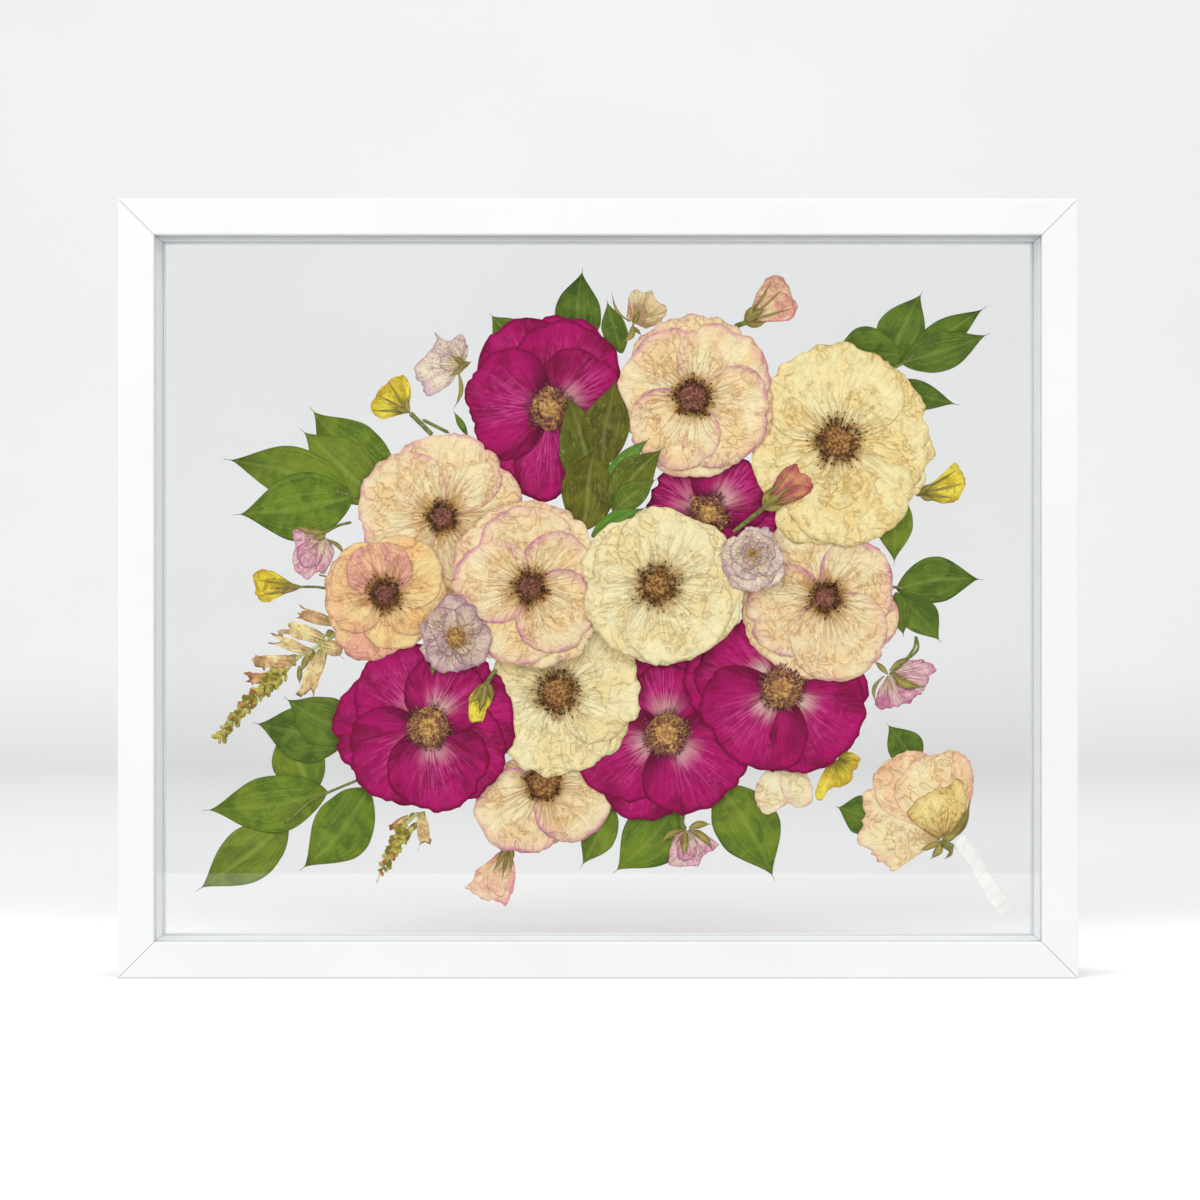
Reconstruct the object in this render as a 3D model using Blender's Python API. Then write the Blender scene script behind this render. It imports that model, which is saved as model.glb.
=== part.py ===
"""Pressed flower frame: a white box frame that holds a pressed bouquet between two panes of glass.

Metres, +Z up. The front of the frame faces -Y. The origin is on the underside, in the middle.
The specimens are flat solids in layers in front of the rear pane, each a little clear of the next.
"""

import math

import bmesh
import bpy
from mathutils import Matrix

MM = 0.001

# Moulding, in metres. Insets are measured from the outer edges, depths from the front face.
FRAME_WIDTH = 540.0 * MM
FRAME_HEIGHT = 438.4 * MM
RAIL_DEPTH = 38.0 * MM
FACE_WIDTH = 20.5 * MM
LIP_OVERLAP = 4.5 * MM
LIP_THICKNESS = 4.0 * MM
OUTER_ROUND = 1.4 * MM
SIGHT_ROUND = 1.0 * MM
ROUND_STEPS = 5
MITRE_GAP = 0.3 * MM
GAP = 0.3 * MM

# Glass, spacers and rear strips.
PANE_WIDTH = 507.4 * MM
PANE_HEIGHT = 405.8 * MM
PANE_THICKNESS = 2.0 * MM
SPACER_DEPTH = 20.1 * MM
STRIP_DEPTH = 8.1 * MM
STRIP_THICKNESS = LIP_OVERLAP - GAP

# Hangers on the back of the top rail.
HANGER_WIDTH = 44.0 * MM
HANGER_HEIGHT = 8.0 * MM
HANGER_THICKNESS = 0.8 * MM
HANGER_SPREAD = 150.0 * MM
HANGER_TEETH = 13
TOOTH_DEPTH = 1.6 * MM
HANGER_MARGIN = 4.0 * MM
HANGER_DROP = 12.0 * MM

# Where things lie from front to back.
TOTAL_DEPTH = RAIL_DEPTH + GAP + HANGER_THICKNESS
FRONT_Y = -TOTAL_DEPTH / 2
FRONT_PANE_Y = FRONT_Y + LIP_THICKNESS + GAP
SPACER_Y = FRONT_PANE_Y + PANE_THICKNESS + GAP
REAR_PANE_Y = SPACER_Y + SPACER_DEPTH + GAP
STRIP_Y = REAR_PANE_Y + PANE_THICKNESS + GAP

# Pressed specimens: one plate thickness, and the step from one layer to the next.
PLATE = 0.5 * MM
LAYER_STEP = 0.8 * MM
FIRST_LAYER_Y = REAR_PANE_Y - GAP - PLATE / 2
UNION_SHAVE = 0.03 * MM
BLOOM_POINTS = 40
WELD = 0.01 * MM

# The same, in mm, for the outlines below.
STEM_WIDTH = 2.0
LEAST_BLOOM_REACH = 10.0
LEAST_LEAF_HALF = 0.5

# Shapes, as shares: how full a petal's lobe is, how wide a floret's neck is, and where a leaf's edge is taken.
LOBE_FULLNESS = 0.6
FLORET_NECK = 0.3
LEAF_STEPS = (0.0, 0.04, 0.12, 0.24, 0.38, 0.52, 0.66, 0.78, 0.87, 0.93, 0.97, 1.0)
LEAF_BLADE = 0.96
LEAF_BIAS = 0.9
LEAF_FULLNESS = 0.85

# Large blooms. The centre is in mm from the middle of the frame: right, then up.
# A petal is (direction in degrees from the right, reach in mm, breadth in mm).
BLOOMS = {
    "bloom_magenta_top": (
        "petal_magenta", 2, (-28, 103),
        ((172, 48, 57), (112, 50, 52), (65, 49, 52), (27, 43, 46), (267, 54, 28), (225, 48, 46), (85, 52, 60)),
    ),
    "bloom_blush_top": (
        "petal_blush", 6, (54, 109),
        ((150, 43, 54), (90, 47, 62), (38, 46, 52), (-32, 46, 56), (240, 43, 46), (185, 41, 42), (275, 46, 56),
         (0, 47, 60)),
    ),
    "bloom_cream_right": (
        "petal_cream", 5, (137, 84),
        ((95, 54, 74), (15, 54, 70), (284, 59, 66), (212, 50, 52), (248, 60, 48), (155, 41, 48), (50, 54, 60),
         (-25, 56, 56)),
    ),
    "bloom_blush_left": (
        "petal_blush", 3, (-89, 41),
        ((212, 47, 32), (95, 48, 66), (30, 46, 60), (-40, 44, 46), (268, 47, 50), (165, 48, 60), (125, 47, 50)),
    ),
    "bloom_peach": (
        "petal_peach", 5, (-122, -3),
        ((178, 35, 42), (102, 30, 34), (47, 36, 40), (-8, 35, 38), (300, 34, 38), (244, 40, 40), (208, 36, 34),
         (140, 34, 34)),
    ),
    "bloom_pink_edged": (
        "petal_blush", 8, (-39, 1),
        ((95, 50, 62), (92, 46, 50), (25, 41, 42), (-42, 44, 42), (255, 46, 44), (172, 43, 40), (146, 48, 40),
         (222, 38, 42), (285, 47, 60), (50, 46, 44)),
    ),
    "bloom_cream_middle": (
        "petal_cream", 9, (35, 2),
        ((80, 44, 48), (130, 42, 48), (5, 48, 52), (300, 46, 58), (225, 45, 52), (180, 39, 42), (265, 45, 50),
         (45, 45, 48)),
    ),
    "bloom_blush_right": (
        "petal_blush", 4, (130, -5),
        ((228, 49, 70), (128, 47, 44), (200, 47, 46), (22, 41, 46), (289, 49, 50), (-28, 44, 42), (85, 34, 40)),
    ),
    "bloom_magenta_hidden": (
        "petal_magenta", 2, (63, 43),
        ((150, 35, 38), (100, 30, 30), (45, 38, 44), (-6, 42, 38), (186, 36, 34), (270, 26, 40)),
    ),
    "bloom_magenta_left": (
        "petal_magenta", 4, (-97, -79),
        ((178, 55, 50), (124, 51, 54), (62, 44, 40), (42, 51, 48), (4, 50, 46), (-38, 49, 50), (284, 49, 50),
         (227, 50, 56), (88, 49, 40)),
    ),
    "bloom_cream_low": (
        "petal_cream", 3, (-23, -59),
        ((5, 48, 58), (262, 48, 62), (195, 30, 50), (90, 24, 52), (-45, 47, 52), (50, 44, 46)),
    ),
    "bloom_magenta_low": (
        "petal_magenta", 2, (39, -83),
        ((208, 54, 46), (245, 52, 44), (-45, 50, 62), (92, 41, 34), (128, 43, 34), (10, 40, 42), (268, 46, 24)),
    ),
    "bloom_magenta_right": (
        "petal_magenta", 3, (105, -57),
        ((152, 50, 56), (128, 44, 34), (222, 50, 56), (268, 49, 40), (-42, 52, 60), (0, 49, 44), (60, 34, 40)),
    ),
    "bloom_blush_low": (
        "petal_blush", 1, (-31, -111),
        ((229, 45, 44), (275, 36, 50), (-32, 41, 42), (195, 30, 30), (20, 26, 30), (120, 14, 30)),
    ),
    "rosette_lavender": (
        "petal_lavender", 10, (90, 19),
        ((90, 17, 20), (150, 17, 20), (210, 17, 20), (262, 19, 18), (320, 17, 20), (25, 17, 20)),
    ),
    "rose_lavender_small": (
        "petal_lavender", 9, (-81, -26),
        ((95, 23, 24), (40, 20, 20), (-5, 21, 20), (-55, 18, 20), (262, 17, 22), (215, 20, 20), (165, 19, 22)),
    ),
}

# Leaf sprigs: a layer, leaves as (tip, base, width) in mm, and the routes of the stems that join them.
SPRIGS = {
    "sprig_left": (
        0,
        (((-215, 74), (-143, 57), 29), ((-209, 43), (-140, 52), 38), ((-166, 104), (-118, 56), 37),
         ((-171, 92), (-127, 49), 32)),
        (((-146, 54), (-112, 44)),),
    ),
    "sprig_upper_right": (
        0,
        (((186, 171), (167, 127), 27), ((129, 129), (174, 134), 33), ((223, 162), (176, 129), 18),
         ((225, 146), (174, 129), 22)),
        (((180, 132), (160, 121)),),
    ),
    "leaf_upper_right": (1, (((207, 105), (160, 114), 17),), ()),
    "sprig_right": (
        0,
        (((221, 5), (171, 0), 26), ((197, -31), (173, -4), 20), ((175, -28), (171, -2), 12)),
        (((177, 0), (160, 2)),),
    ),
    "sprig_middle_left": (1, (((-198, -77), (-144, -87), 31), ((-180, -62), (-138, -84), 28)), ()),
    "sprig_lower_left": (
        0,
        (((-227, -127), (-155, -117), 32), ((-231, -173), (-178, -133), 31), ((-171, -162), (-131, -115), 34),
         ((-180, -74), (-163, -117), 29)),
        (((-168, -124), (-155, -117), (-136, -109)), ((-180, -135), (-160, -118))),
    ),
    "leaf_top": (0, (((-9, 181), (-10, 138), 26),), ()),
    "leaf_cluster": (
        7,
        (((-19, 113), (-2, 52), 28), ((11, 121), (3, 70), 26), ((-1, 84), (-8, 33), 30), ((30, 86), (4, 64), 9),
         ((38, 81), (7, 46), 22), ((34, 63), (8, 44), 15), ((28, 47), (-4, 30), 13)),
        (),
    ),
    "sprig_bottom": (0, (((-10, -160), (8, -124), 20), ((8, -163), (45, -122), 34)), (((6, -126), (44, -124)),)),
    "leaf_bottom": (0, (((101, -168), (70, -112), 36),), ()),
    "leaves_by_single_rose": (
        0,
        (((165, -77), (182, -104), 20), ((136, -125), (162, -131), 22)),
        (((162, -131), (182, -104)),),
    ),
}

# Buds seen from the side: a colour, a layer, the route from stem to mouth and the half widths along it, in mm.
BUDS = {
    "lisianthus_yellow_top": (
        "petal_yellow", 0,
        ((-93, 87), (-104, 98), (-112, 103), (-115, 107), (-120, 112), (-125, 117)), (1, 1, 4, 6, 12, 11),
    ),
    "lisianthus_yellow_left": (
        "petal_yellow", 0,
        ((-153, 1), (-171, 2), (-174, 2), (-184, 3), (-192, 3), (-198, 2)), (1, 1, 2, 6, 9, 8),
    ),
    "lisianthus_yellow_right": (
        "petal_yellow", 0,
        ((177, 50), (183, 55), (187, 56), (193, 58), (202, 61), (210, 61)), (1, 3, 4, 6, 11, 9),
    ),
    "lisianthus_green": (
        "petal_yellow", 5,
        ((-54, -43), (-62, -49), (-64, -54), (-67, -63), (-69, -70), (-69, -76)), (1, 1, 5, 7, 6, 4),
    ),
    "lisianthus_peach_top": (
        "petal_peach", 0,
        ((79, 151), (83, 153), (88, 157), (94, 162), (103, 168), (110, 172)), (1, 3, 6, 10, 15, 9),
    ),
    "lisianthus_peach_middle": (
        "petal_peach", 6,
        ((77, 31), (93, 46), (97, 50), (103, 55), (110, 60), (119, 65)), (1, 2, 6, 9, 12, 8),
    ),
    "lisianthus_peach_bottom": (
        "petal_peach", 0,
        ((-51, -148), (-53, -153), (-56, -160), (-60, -168), (-64, -176)), (2, 6, 10, 14, 12),
    ),
    "rosebud_lavender": (
        "petal_lavender", 0,
        ((-73, 127), (-79, 127), (-85, 128), (-92, 129), (-99, 131), (-103, 132)), (2, 7, 15, 17, 13, 8),
    ),
    "rosebud_cream": (
        "petal_cream", 0,
        ((23, 149), (24, 152), (27, 157), (29, 163), (30, 168), (30, 171)), (3, 7, 10, 10, 8, 5),
    ),
    "rosebud_pink_left": (
        "petal_pink", 1,
        ((-138, 39), (-156, 35), (-160, 33), (-161, 26), (-164, 16), (-166, 7)), (1, 2, 9, 12, 10, 3),
    ),
    "rosebud_pink_right": (
        "petal_pink", 0,
        ((159, -42), (163, -46), (169, -50), (174, -53), (180, -56), (185, -58)), (2, 4, 12, 14, 11, 4),
    ),
    "rosebud_pink_bottom": (
        "petal_pink", 1,
        ((50, -127), (50, -135), (51, -140), (52, -146), (54, -152), (54, -158)), (2, 4, 9, 11, 11, 8),
    ),
}

# Flower spikes: a stem that tapers to its tip, and tubular florets given as (mouth, base, width), in mm.
SPIKES = {
    "spike_left": (
        0,
        ((-149, -25), (-159, -32), (-170, -38), (-179, -46), (-192, -55), (-204, -67), (-213, -77),
         (-217, -87)),
        (2, 2, 2, 3, 6, 6, 5, 2),
        (((-180, -22), (-157, -30), 8), ((-184, -28), (-168, -37), 6), ((-194, -43), (-175, -43), 7),
         ((-166, -60), (-160, -33), 8), ((-145, -35), (-159, -33), 7)),
    ),
    "spike_low": (
        0,
        ((-103, -128), (-113, -138), (-118, -147), (-122, -155), (-127, -169)), (2, 6, 5, 4, 2),
        (((-97, -144), (-101, -128), 6),),
    ),
}

# Loose petals and the single rose at the lower right, with its satin-wrapped stem, as outlines in mm.
OUTLINES = {
    "petals_cream_loose": (
        "petal_cream", 1,
        ((91, -105), (89, -112), (91, -121), (98, -127), (108, -123), (118, -123), (122, -118), (118, -107),
         (104, -102)),
    ),
    "single_rose": (
        "petal_peach", 1,
        ((178, -92), (168, -97), (160, -105), (158, -116), (151, -125), (150, -142), (158, -157), (170, -160),
         (176, -155), (186, -148), (195, -155), (202, -152), (211, -141), (210, -134), (216, -121), (213, -100),
         (206, -93), (192, -92)),
    ),
    "ribbon_wrapped_stem": (
        "satin_white", 0,
        ((205, -146), (210, -143), (217, -149), (226, -160), (236, -176), (240, -181), (231, -190), (224, -178),
         (215, -163)),
    ),
}

COLOURS = {
    "wood_white": ((0.93, 0.93, 0.92), 0.45, 0.0),
    "spacer_white": ((0.90, 0.92, 0.94), 0.7, 0.0),
    "steel_bright": ((0.62, 0.62, 0.60), 0.3, 1.0),
    "glass_clear": ((0.95, 0.98, 0.98), 0.02, 0.0),
    "petal_magenta": ((0.42, 0.01, 0.12), 0.7, 0.0),
    "petal_blush": ((0.82, 0.66, 0.48), 0.7, 0.0),
    "petal_cream": ((0.83, 0.70, 0.44), 0.7, 0.0),
    "petal_peach": ((0.80, 0.48, 0.28), 0.7, 0.0),
    "petal_pink": ((0.62, 0.30, 0.38), 0.7, 0.0),
    "petal_lavender": ((0.55, 0.44, 0.48), 0.7, 0.0),
    "petal_yellow": ((0.68, 0.58, 0.12), 0.7, 0.0),
    "leaf_green": ((0.13, 0.20, 0.04), 0.6, 0.0),
    "spike_olive": ((0.36, 0.27, 0.10), 0.7, 0.0),
    "satin_white": ((0.88, 0.88, 0.85), 0.4, 0.0),
}


def material(name):
    """The Principled material of this name, made the first time it is asked for."""
    found = bpy.data.materials.get(name)
    if found:
        return found
    colour, roughness, metallic = COLOURS[name]
    made = bpy.data.materials.new(name)
    made.use_nodes = True
    shader = made.node_tree.nodes["Principled BSDF"]
    shader.inputs["Base Color"].default_value = (*colour, 1.0)
    shader.inputs["Roughness"].default_value = roughness
    shader.inputs["Metallic"].default_value = metallic
    if name == "glass_clear":
        shader.inputs["Transmission Weight"].default_value = 1.0
    return made


def add_object(collection, name, mesh, slot):
    """A new object in the collection, with one material."""
    made = bpy.data.objects.new(name, mesh)
    mesh.materials.clear()
    mesh.materials.append(material(slot))
    collection.objects.link(made)
    return made


def outline_mesh(name, points, thickness):
    """A flat outline made into a closed plate: its points lie in local XY, and its thickness along Z."""
    curve = bpy.data.curves.new(name, "CURVE")
    curve.dimensions = "2D"
    curve.fill_mode = "BOTH"
    curve.extrude = thickness / 2
    spline = curve.splines.new("POLY")
    spline.points.add(len(points) - 1)
    for point, (x, y) in zip(spline.points, points):
        point.co = (x, y, 0.0, 1.0)
    spline.use_cyclic_u = True
    guide = bpy.data.objects.new(name, curve)
    bpy.context.scene.collection.objects.link(guide)
    graph = bpy.context.evaluated_depsgraph_get()
    mesh = bpy.data.meshes.new_from_object(guide.evaluated_get(graph))
    bpy.data.objects.remove(guide)
    bpy.data.curves.remove(curve)
    shape = bmesh.new()
    shape.from_mesh(mesh)
    bmesh.ops.remove_doubles(shape, verts=shape.verts, dist=WELD)
    bmesh.ops.recalc_face_normals(shape, faces=shape.faces)
    shape.to_mesh(mesh)
    shape.free()
    return mesh


def box(collection, name, low, high, slot):
    """A plain block between two corners."""
    shape = bmesh.new()
    bmesh.ops.create_cube(shape, size=1.0)
    size = [b - a for a, b in zip(low, high)]
    middle = [(a + b) / 2 for a, b in zip(low, high)]
    placed = Matrix.Translation(middle) @ Matrix.Diagonal((*size, 1.0))
    bmesh.ops.transform(shape, matrix=placed, verts=shape.verts)
    mesh = bpy.data.meshes.new(name)
    shape.to_mesh(mesh)
    shape.free()
    return add_object(collection, name, mesh, slot)


def round_corner(corner, start, turn, radius):
    """Points of the quarter round that stands in for a square corner, from the start angle, in degrees."""
    first, last = math.radians(start), math.radians(start + turn)
    centre_x = corner[0] - radius * (math.cos(first) + math.cos(last))
    centre_y = corner[1] - radius * (math.sin(first) + math.sin(last))
    angles = [first + (last - first) * step / ROUND_STEPS for step in range(ROUND_STEPS + 1)]
    return [(centre_x + radius * math.cos(a), centre_y + radius * math.sin(a)) for a in angles]


def rail_profile():
    """The moulding's section: x is the inset from the outer edge, y the depth behind the front face."""
    rebate = FACE_WIDTH - LIP_OVERLAP
    points = [(0.0, RAIL_DEPTH)]
    points += round_corner((0.0, 0.0), 180, 90, OUTER_ROUND)
    points += round_corner((FACE_WIDTH, 0.0), 270, 90, SIGHT_ROUND)
    points += [(FACE_WIDTH, LIP_THICKNESS), (rebate, LIP_THICKNESS), (rebate, RAIL_DEPTH)]
    return points


def rail(collection, name, length, middle, turn):
    """One mitred rail: its section is extruded, and each end is cut back by the inset, which makes 45 degrees."""
    mesh = outline_mesh(name, rail_profile(), length)
    for vertex in mesh.vertices:
        reach = length / 2 - vertex.co.x - MITRE_GAP / 2
        vertex.co.z = math.copysign(reach, vertex.co.z)
    made = add_object(collection, name, mesh, "wood_white")
    made.rotation_euler = (0.0, math.radians(turn), 0.0)
    made.location = (middle[0], FRONT_Y, middle[1])
    return made


def build_moulding(collection):
    """The four rails of the frame."""
    rail(collection, "frame_rail_bottom", FRAME_WIDTH, (0.0, 0.0), -90)
    rail(collection, "frame_stile_left", FRAME_HEIGHT, (-FRAME_WIDTH / 2, FRAME_HEIGHT / 2), 0)
    rail(collection, "frame_rail_top", FRAME_WIDTH, (0.0, FRAME_HEIGHT), 90)
    rail(collection, "frame_stile_right", FRAME_HEIGHT, (FRAME_WIDTH / 2, FRAME_HEIGHT / 2), 180)


def pane(collection, name, front_y):
    """A pane of glass, centred in the frame."""
    low = (-PANE_WIDTH / 2, front_y, (FRAME_HEIGHT - PANE_HEIGHT) / 2)
    high = (PANE_WIDTH / 2, front_y + PANE_THICKNESS, (FRAME_HEIGHT + PANE_HEIGHT) / 2)
    return box(collection, name, low, high, "glass_clear")


def strips(collection, prefix, front_y, depth, slot):
    """Four strips that line the rebate: the level pair runs right across, the upright pair stands between."""
    back_y = front_y + depth
    half = PANE_WIDTH / 2
    bottom = (FRAME_HEIGHT - PANE_HEIGHT) / 2
    top = (FRAME_HEIGHT + PANE_HEIGHT) / 2
    thick = STRIP_THICKNESS
    box(collection, prefix + "_bottom", (-half, front_y, bottom), (half, back_y, bottom + thick), slot)
    box(collection, prefix + "_top", (-half, front_y, top - thick), (half, back_y, top), slot)
    low = bottom + thick + GAP
    high = top - thick - GAP
    box(collection, prefix + "_left", (-half, front_y, low), (-half + thick, back_y, high), slot)
    box(collection, prefix + "_right", (half - thick, front_y, low), (half, back_y, high), slot)


def hanger_outline():
    """A straight plate whose lower edge is a row of teeth."""
    half = HANGER_WIDTH / 2
    margin = HANGER_MARGIN
    pitch = (HANGER_WIDTH - 2 * margin) / HANGER_TEETH
    points = [(half, 0.0), (half, HANGER_HEIGHT), (-half, HANGER_HEIGHT), (-half, 0.0)]
    for tooth in range(HANGER_TEETH):
        left = -half + margin + tooth * pitch
        points += [(left, 0.0), (left + pitch / 2, TOOTH_DEPTH)]
    points.append((half - margin, 0.0))
    return points


def build_hangers(collection):
    """Two sawtooth hangers, flat on the back of the top rail."""
    mesh = outline_mesh("hanger", hanger_outline(), HANGER_THICKNESS)
    plate_y = FRONT_Y + RAIL_DEPTH + GAP + HANGER_THICKNESS / 2
    for name, side in (("hanger_left", -1), ("hanger_right", 1)):
        made = add_object(collection, name, mesh, "steel_bright")
        made.rotation_euler = (math.radians(90), 0.0, 0.0)
        made.location = (side * HANGER_SPREAD, plate_y, FRAME_HEIGHT - HANGER_DROP)


def plate(collection, name, points, layer, slot, shave=0.0):
    """A flat specimen in its layer, from an outline in mm round the middle of the frame."""
    outline = [(x * MM, y * MM) for x, y in points]
    made = add_object(collection, name, outline_mesh(name, outline, PLATE - shave), slot)
    made.rotation_euler = (math.radians(90), 0.0, 0.0)
    made.location = (0.0, FIRST_LAYER_Y - layer * LAYER_STEP, FRAME_HEIGHT / 2)
    return made


def petal_reach(angle, petal):
    """How far one petal reaches in a direction from the bloom's centre: a broad lobe from the centre out."""
    direction, reach, breadth = petal
    off = math.radians(angle - direction)
    ahead = math.cos(off)
    if ahead <= 0.0:
        return 0.0
    lobe = ahead / (ahead**2 + (reach / breadth * math.sin(off)) ** 2)
    return reach * lobe**LOBE_FULLNESS


def bloom_outline(centre, petals):
    """The edge of a whole bloom: in each direction the petal that reaches furthest."""
    points = []
    for step in range(BLOOM_POINTS):
        angle = 360.0 * step / BLOOM_POINTS
        reach = max(petal_reach(angle, petal) for petal in petals)
        reach = max(reach, LEAST_BLOOM_REACH)
        turn = math.radians(angle)
        points.append((centre[0] + reach * math.cos(turn), centre[1] + reach * math.sin(turn)))
    return points


def ribbon_outline(route, halves):
    """The outline of a band of changing width: out along the left of its route, back along the right."""
    left = []
    right = []
    last = len(route) - 1
    for index, (x, y) in enumerate(route):
        before = route[max(index - 1, 0)]
        after = route[min(index + 1, last)]
        run = math.hypot(after[0] - before[0], after[1] - before[1])
        across = (-(after[1] - before[1]) / run, (after[0] - before[0]) / run)
        left.append((x + across[0] * halves[index], y + across[1] * halves[index]))
        right.append((x - across[0] * halves[index], y - across[1] * halves[index]))
    return left + right[::-1]


def leaf_outline(tip, base, width):
    """A pointed oval with its widest place nearer the base, and a short drawn-out tip."""
    route = [(base[0] + (tip[0] - base[0]) * s, base[1] + (tip[1] - base[1]) * s) for s in LEAF_STEPS]
    halves = []
    for s in LEAF_STEPS:
        along_blade = min(s / LEAF_BLADE, 1.0) ** LEAF_BIAS
        halves.append(max(width / 2 * math.sin(math.pi * along_blade) ** LEAF_FULLNESS, LEAST_LEAF_HALF))
    return ribbon_outline(route, halves)


def join(collection, cutters, name, slot, layer, outlines):
    """Several flat outlines joined in one plate, each a little thinner than the last."""
    body = plate(collection, name, outlines[0], layer, slot)
    for index, points in enumerate(outlines[1:], 1):
        tool = plate(cutters, f"{name}_piece_{index}", points, layer, slot, index * UNION_SHAVE)
        tool.hide_render = True
        tool.display_type = "WIRE"
        union = body.modifiers.new(f"join_{index}", "BOOLEAN")
        union.operation = "UNION"
        union.solver = "EXACT"
        union.object = tool
    return body


def build_specimens(collection, cutters):
    """Every pressed flower, leaf and bud."""
    for name, (slot, layer, centre, petals) in BLOOMS.items():
        plate(collection, name, bloom_outline(centre, petals), layer, slot)
    for name, (layer, leaves, stems) in SPRIGS.items():
        outlines = [leaf_outline(*leaf) for leaf in leaves]
        outlines += [ribbon_outline(route, [STEM_WIDTH / 2] * len(route)) for route in stems]
        join(collection, cutters, name, "leaf_green", layer, outlines)
    for name, (slot, layer, route, halves) in BUDS.items():
        plate(collection, name, ribbon_outline(route, halves), layer, slot)
    for name, (layer, route, halves, florets) in SPIKES.items():
        outlines = [ribbon_outline(route, halves)]
        for mouth, base, width in florets:
            outlines.append(ribbon_outline((base, mouth), (width * FLORET_NECK, width / 2)))
        join(collection, cutters, name, "spike_olive", layer, outlines)
    for name, (slot, layer, points) in OUTLINES.items():
        plate(collection, name, points, layer, slot)


def main():
    """Clears the scene and builds the frame, its glazing and everything pressed in it."""
    for old in list(bpy.data.objects):
        bpy.data.objects.remove(old)
    parts = bpy.data.collections.new("pressed_flower_frame")
    cutters = bpy.data.collections.new("joining_pieces")
    for collection in (parts, cutters):
        bpy.context.scene.collection.children.link(collection)
    build_moulding(parts)
    pane(parts, "pane_front", FRONT_PANE_Y)
    strips(parts, "spacer", SPACER_Y, SPACER_DEPTH, "spacer_white")
    pane(parts, "pane_rear", REAR_PANE_Y)
    strips(parts, "rear_strip", STRIP_Y, STRIP_DEPTH, "wood_white")
    build_hangers(parts)
    build_specimens(parts, cutters)


main()
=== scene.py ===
"""Looks of the pressed flower frame: blooms, leaves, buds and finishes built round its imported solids.

Metres, +Z up, the front of the frame faces -Y. Places of specimens are in mm from the middle of the frame.
"""

import logging
import math
from dataclasses import dataclass, field
from enum import Enum

import bpy
import numpy as np
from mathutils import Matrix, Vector


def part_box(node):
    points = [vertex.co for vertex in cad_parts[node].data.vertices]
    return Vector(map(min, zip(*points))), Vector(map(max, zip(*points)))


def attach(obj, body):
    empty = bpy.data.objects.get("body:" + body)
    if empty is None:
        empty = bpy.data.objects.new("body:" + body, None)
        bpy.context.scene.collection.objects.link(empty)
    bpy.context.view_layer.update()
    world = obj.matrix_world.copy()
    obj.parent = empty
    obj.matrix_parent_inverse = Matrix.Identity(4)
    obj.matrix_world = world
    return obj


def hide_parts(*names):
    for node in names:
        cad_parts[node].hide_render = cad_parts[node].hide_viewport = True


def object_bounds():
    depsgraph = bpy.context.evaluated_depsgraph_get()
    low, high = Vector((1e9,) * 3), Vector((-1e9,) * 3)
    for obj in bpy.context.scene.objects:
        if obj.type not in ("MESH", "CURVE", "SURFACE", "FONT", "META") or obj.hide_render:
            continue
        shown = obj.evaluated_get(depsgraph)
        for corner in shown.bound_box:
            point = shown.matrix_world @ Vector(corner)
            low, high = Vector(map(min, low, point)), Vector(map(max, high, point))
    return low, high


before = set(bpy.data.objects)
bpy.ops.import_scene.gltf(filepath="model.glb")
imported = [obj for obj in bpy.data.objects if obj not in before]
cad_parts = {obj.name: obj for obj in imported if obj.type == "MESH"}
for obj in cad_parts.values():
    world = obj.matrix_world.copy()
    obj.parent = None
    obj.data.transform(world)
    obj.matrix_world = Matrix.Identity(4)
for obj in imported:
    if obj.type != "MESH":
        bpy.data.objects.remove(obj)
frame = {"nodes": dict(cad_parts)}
CAD_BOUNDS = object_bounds()

MM = 0.001
# How far the petals of one bloom are spread in depth, in mm.
PETAL_STACK = 0.52
ROOT = "root"
LOG = logging.getLogger("pressed_flower_frame")

Colour = tuple[float, float, float]
Point = tuple[float, float]
Socket = bpy.types.NodeSocket
Grid = np.ndarray


# ---------------------------------------------------------------- colour and noise


def paint(red: float, green: float, blue: float) -> Colour:
    """A display colour from 0 to 255 as linear light."""
    shares = [channel / 255 for channel in (red, green, blue)]
    return tuple(s / 12.92 if s <= 0.04045 else ((s + 0.055) / 1.055) ** 2.4 for s in shares)


def lattice(across: Grid, up: Grid, seed: int) -> Grid:
    """Random values from 0 to 1 on the points of a whole-number grid.

    Args:
        across: Whole numbers along the first axis.
        up: Whole numbers along the second axis.
        seed: Which of many such grids.

    Returns:
        One value a point, the same on each run.
    """
    mixed = across.astype(np.int64) * 374761393 + up.astype(np.int64) * 668265263 + seed * 974634777
    mixed = (mixed ^ (mixed >> 13)) * 1274126177
    return ((mixed ^ (mixed >> 16)) & 0xFFFFFF) / 0xFFFFFF


def ripple(across: Grid, up: Grid, seed: int, octaves: int = 1) -> Grid:
    """Smooth noise about zero, from -1 to 1.

    Args:
        across: First coordinate, with one lump to a unit.
        up: Second coordinate.
        seed: Which pattern.
        octaves: How many finer copies are added.

    Returns:
        The height at each point.
    """
    total = np.zeros(np.broadcast(across, up).shape)
    size, weight = 1.0, 0.0
    for octave in range(octaves):
        x, z = across / size + 31.7 * octave, up / size + 17.3 * octave
        ix, iz = np.floor(x), np.floor(z)
        fx, fz = x - ix, z - iz
        fx, fz = fx * fx * (3 - 2 * fx), fz * fz * (3 - 2 * fz)
        low = lattice(ix, iz, seed) * (1 - fx) + lattice(ix + 1, iz, seed) * fx
        high = lattice(ix, iz + 1, seed) * (1 - fx) + lattice(ix + 1, iz + 1, seed) * fx
        total += size * (2 * (low * (1 - fz) + high * fz) - 1)
        weight += size
        size /= 2
    return total / weight


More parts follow.
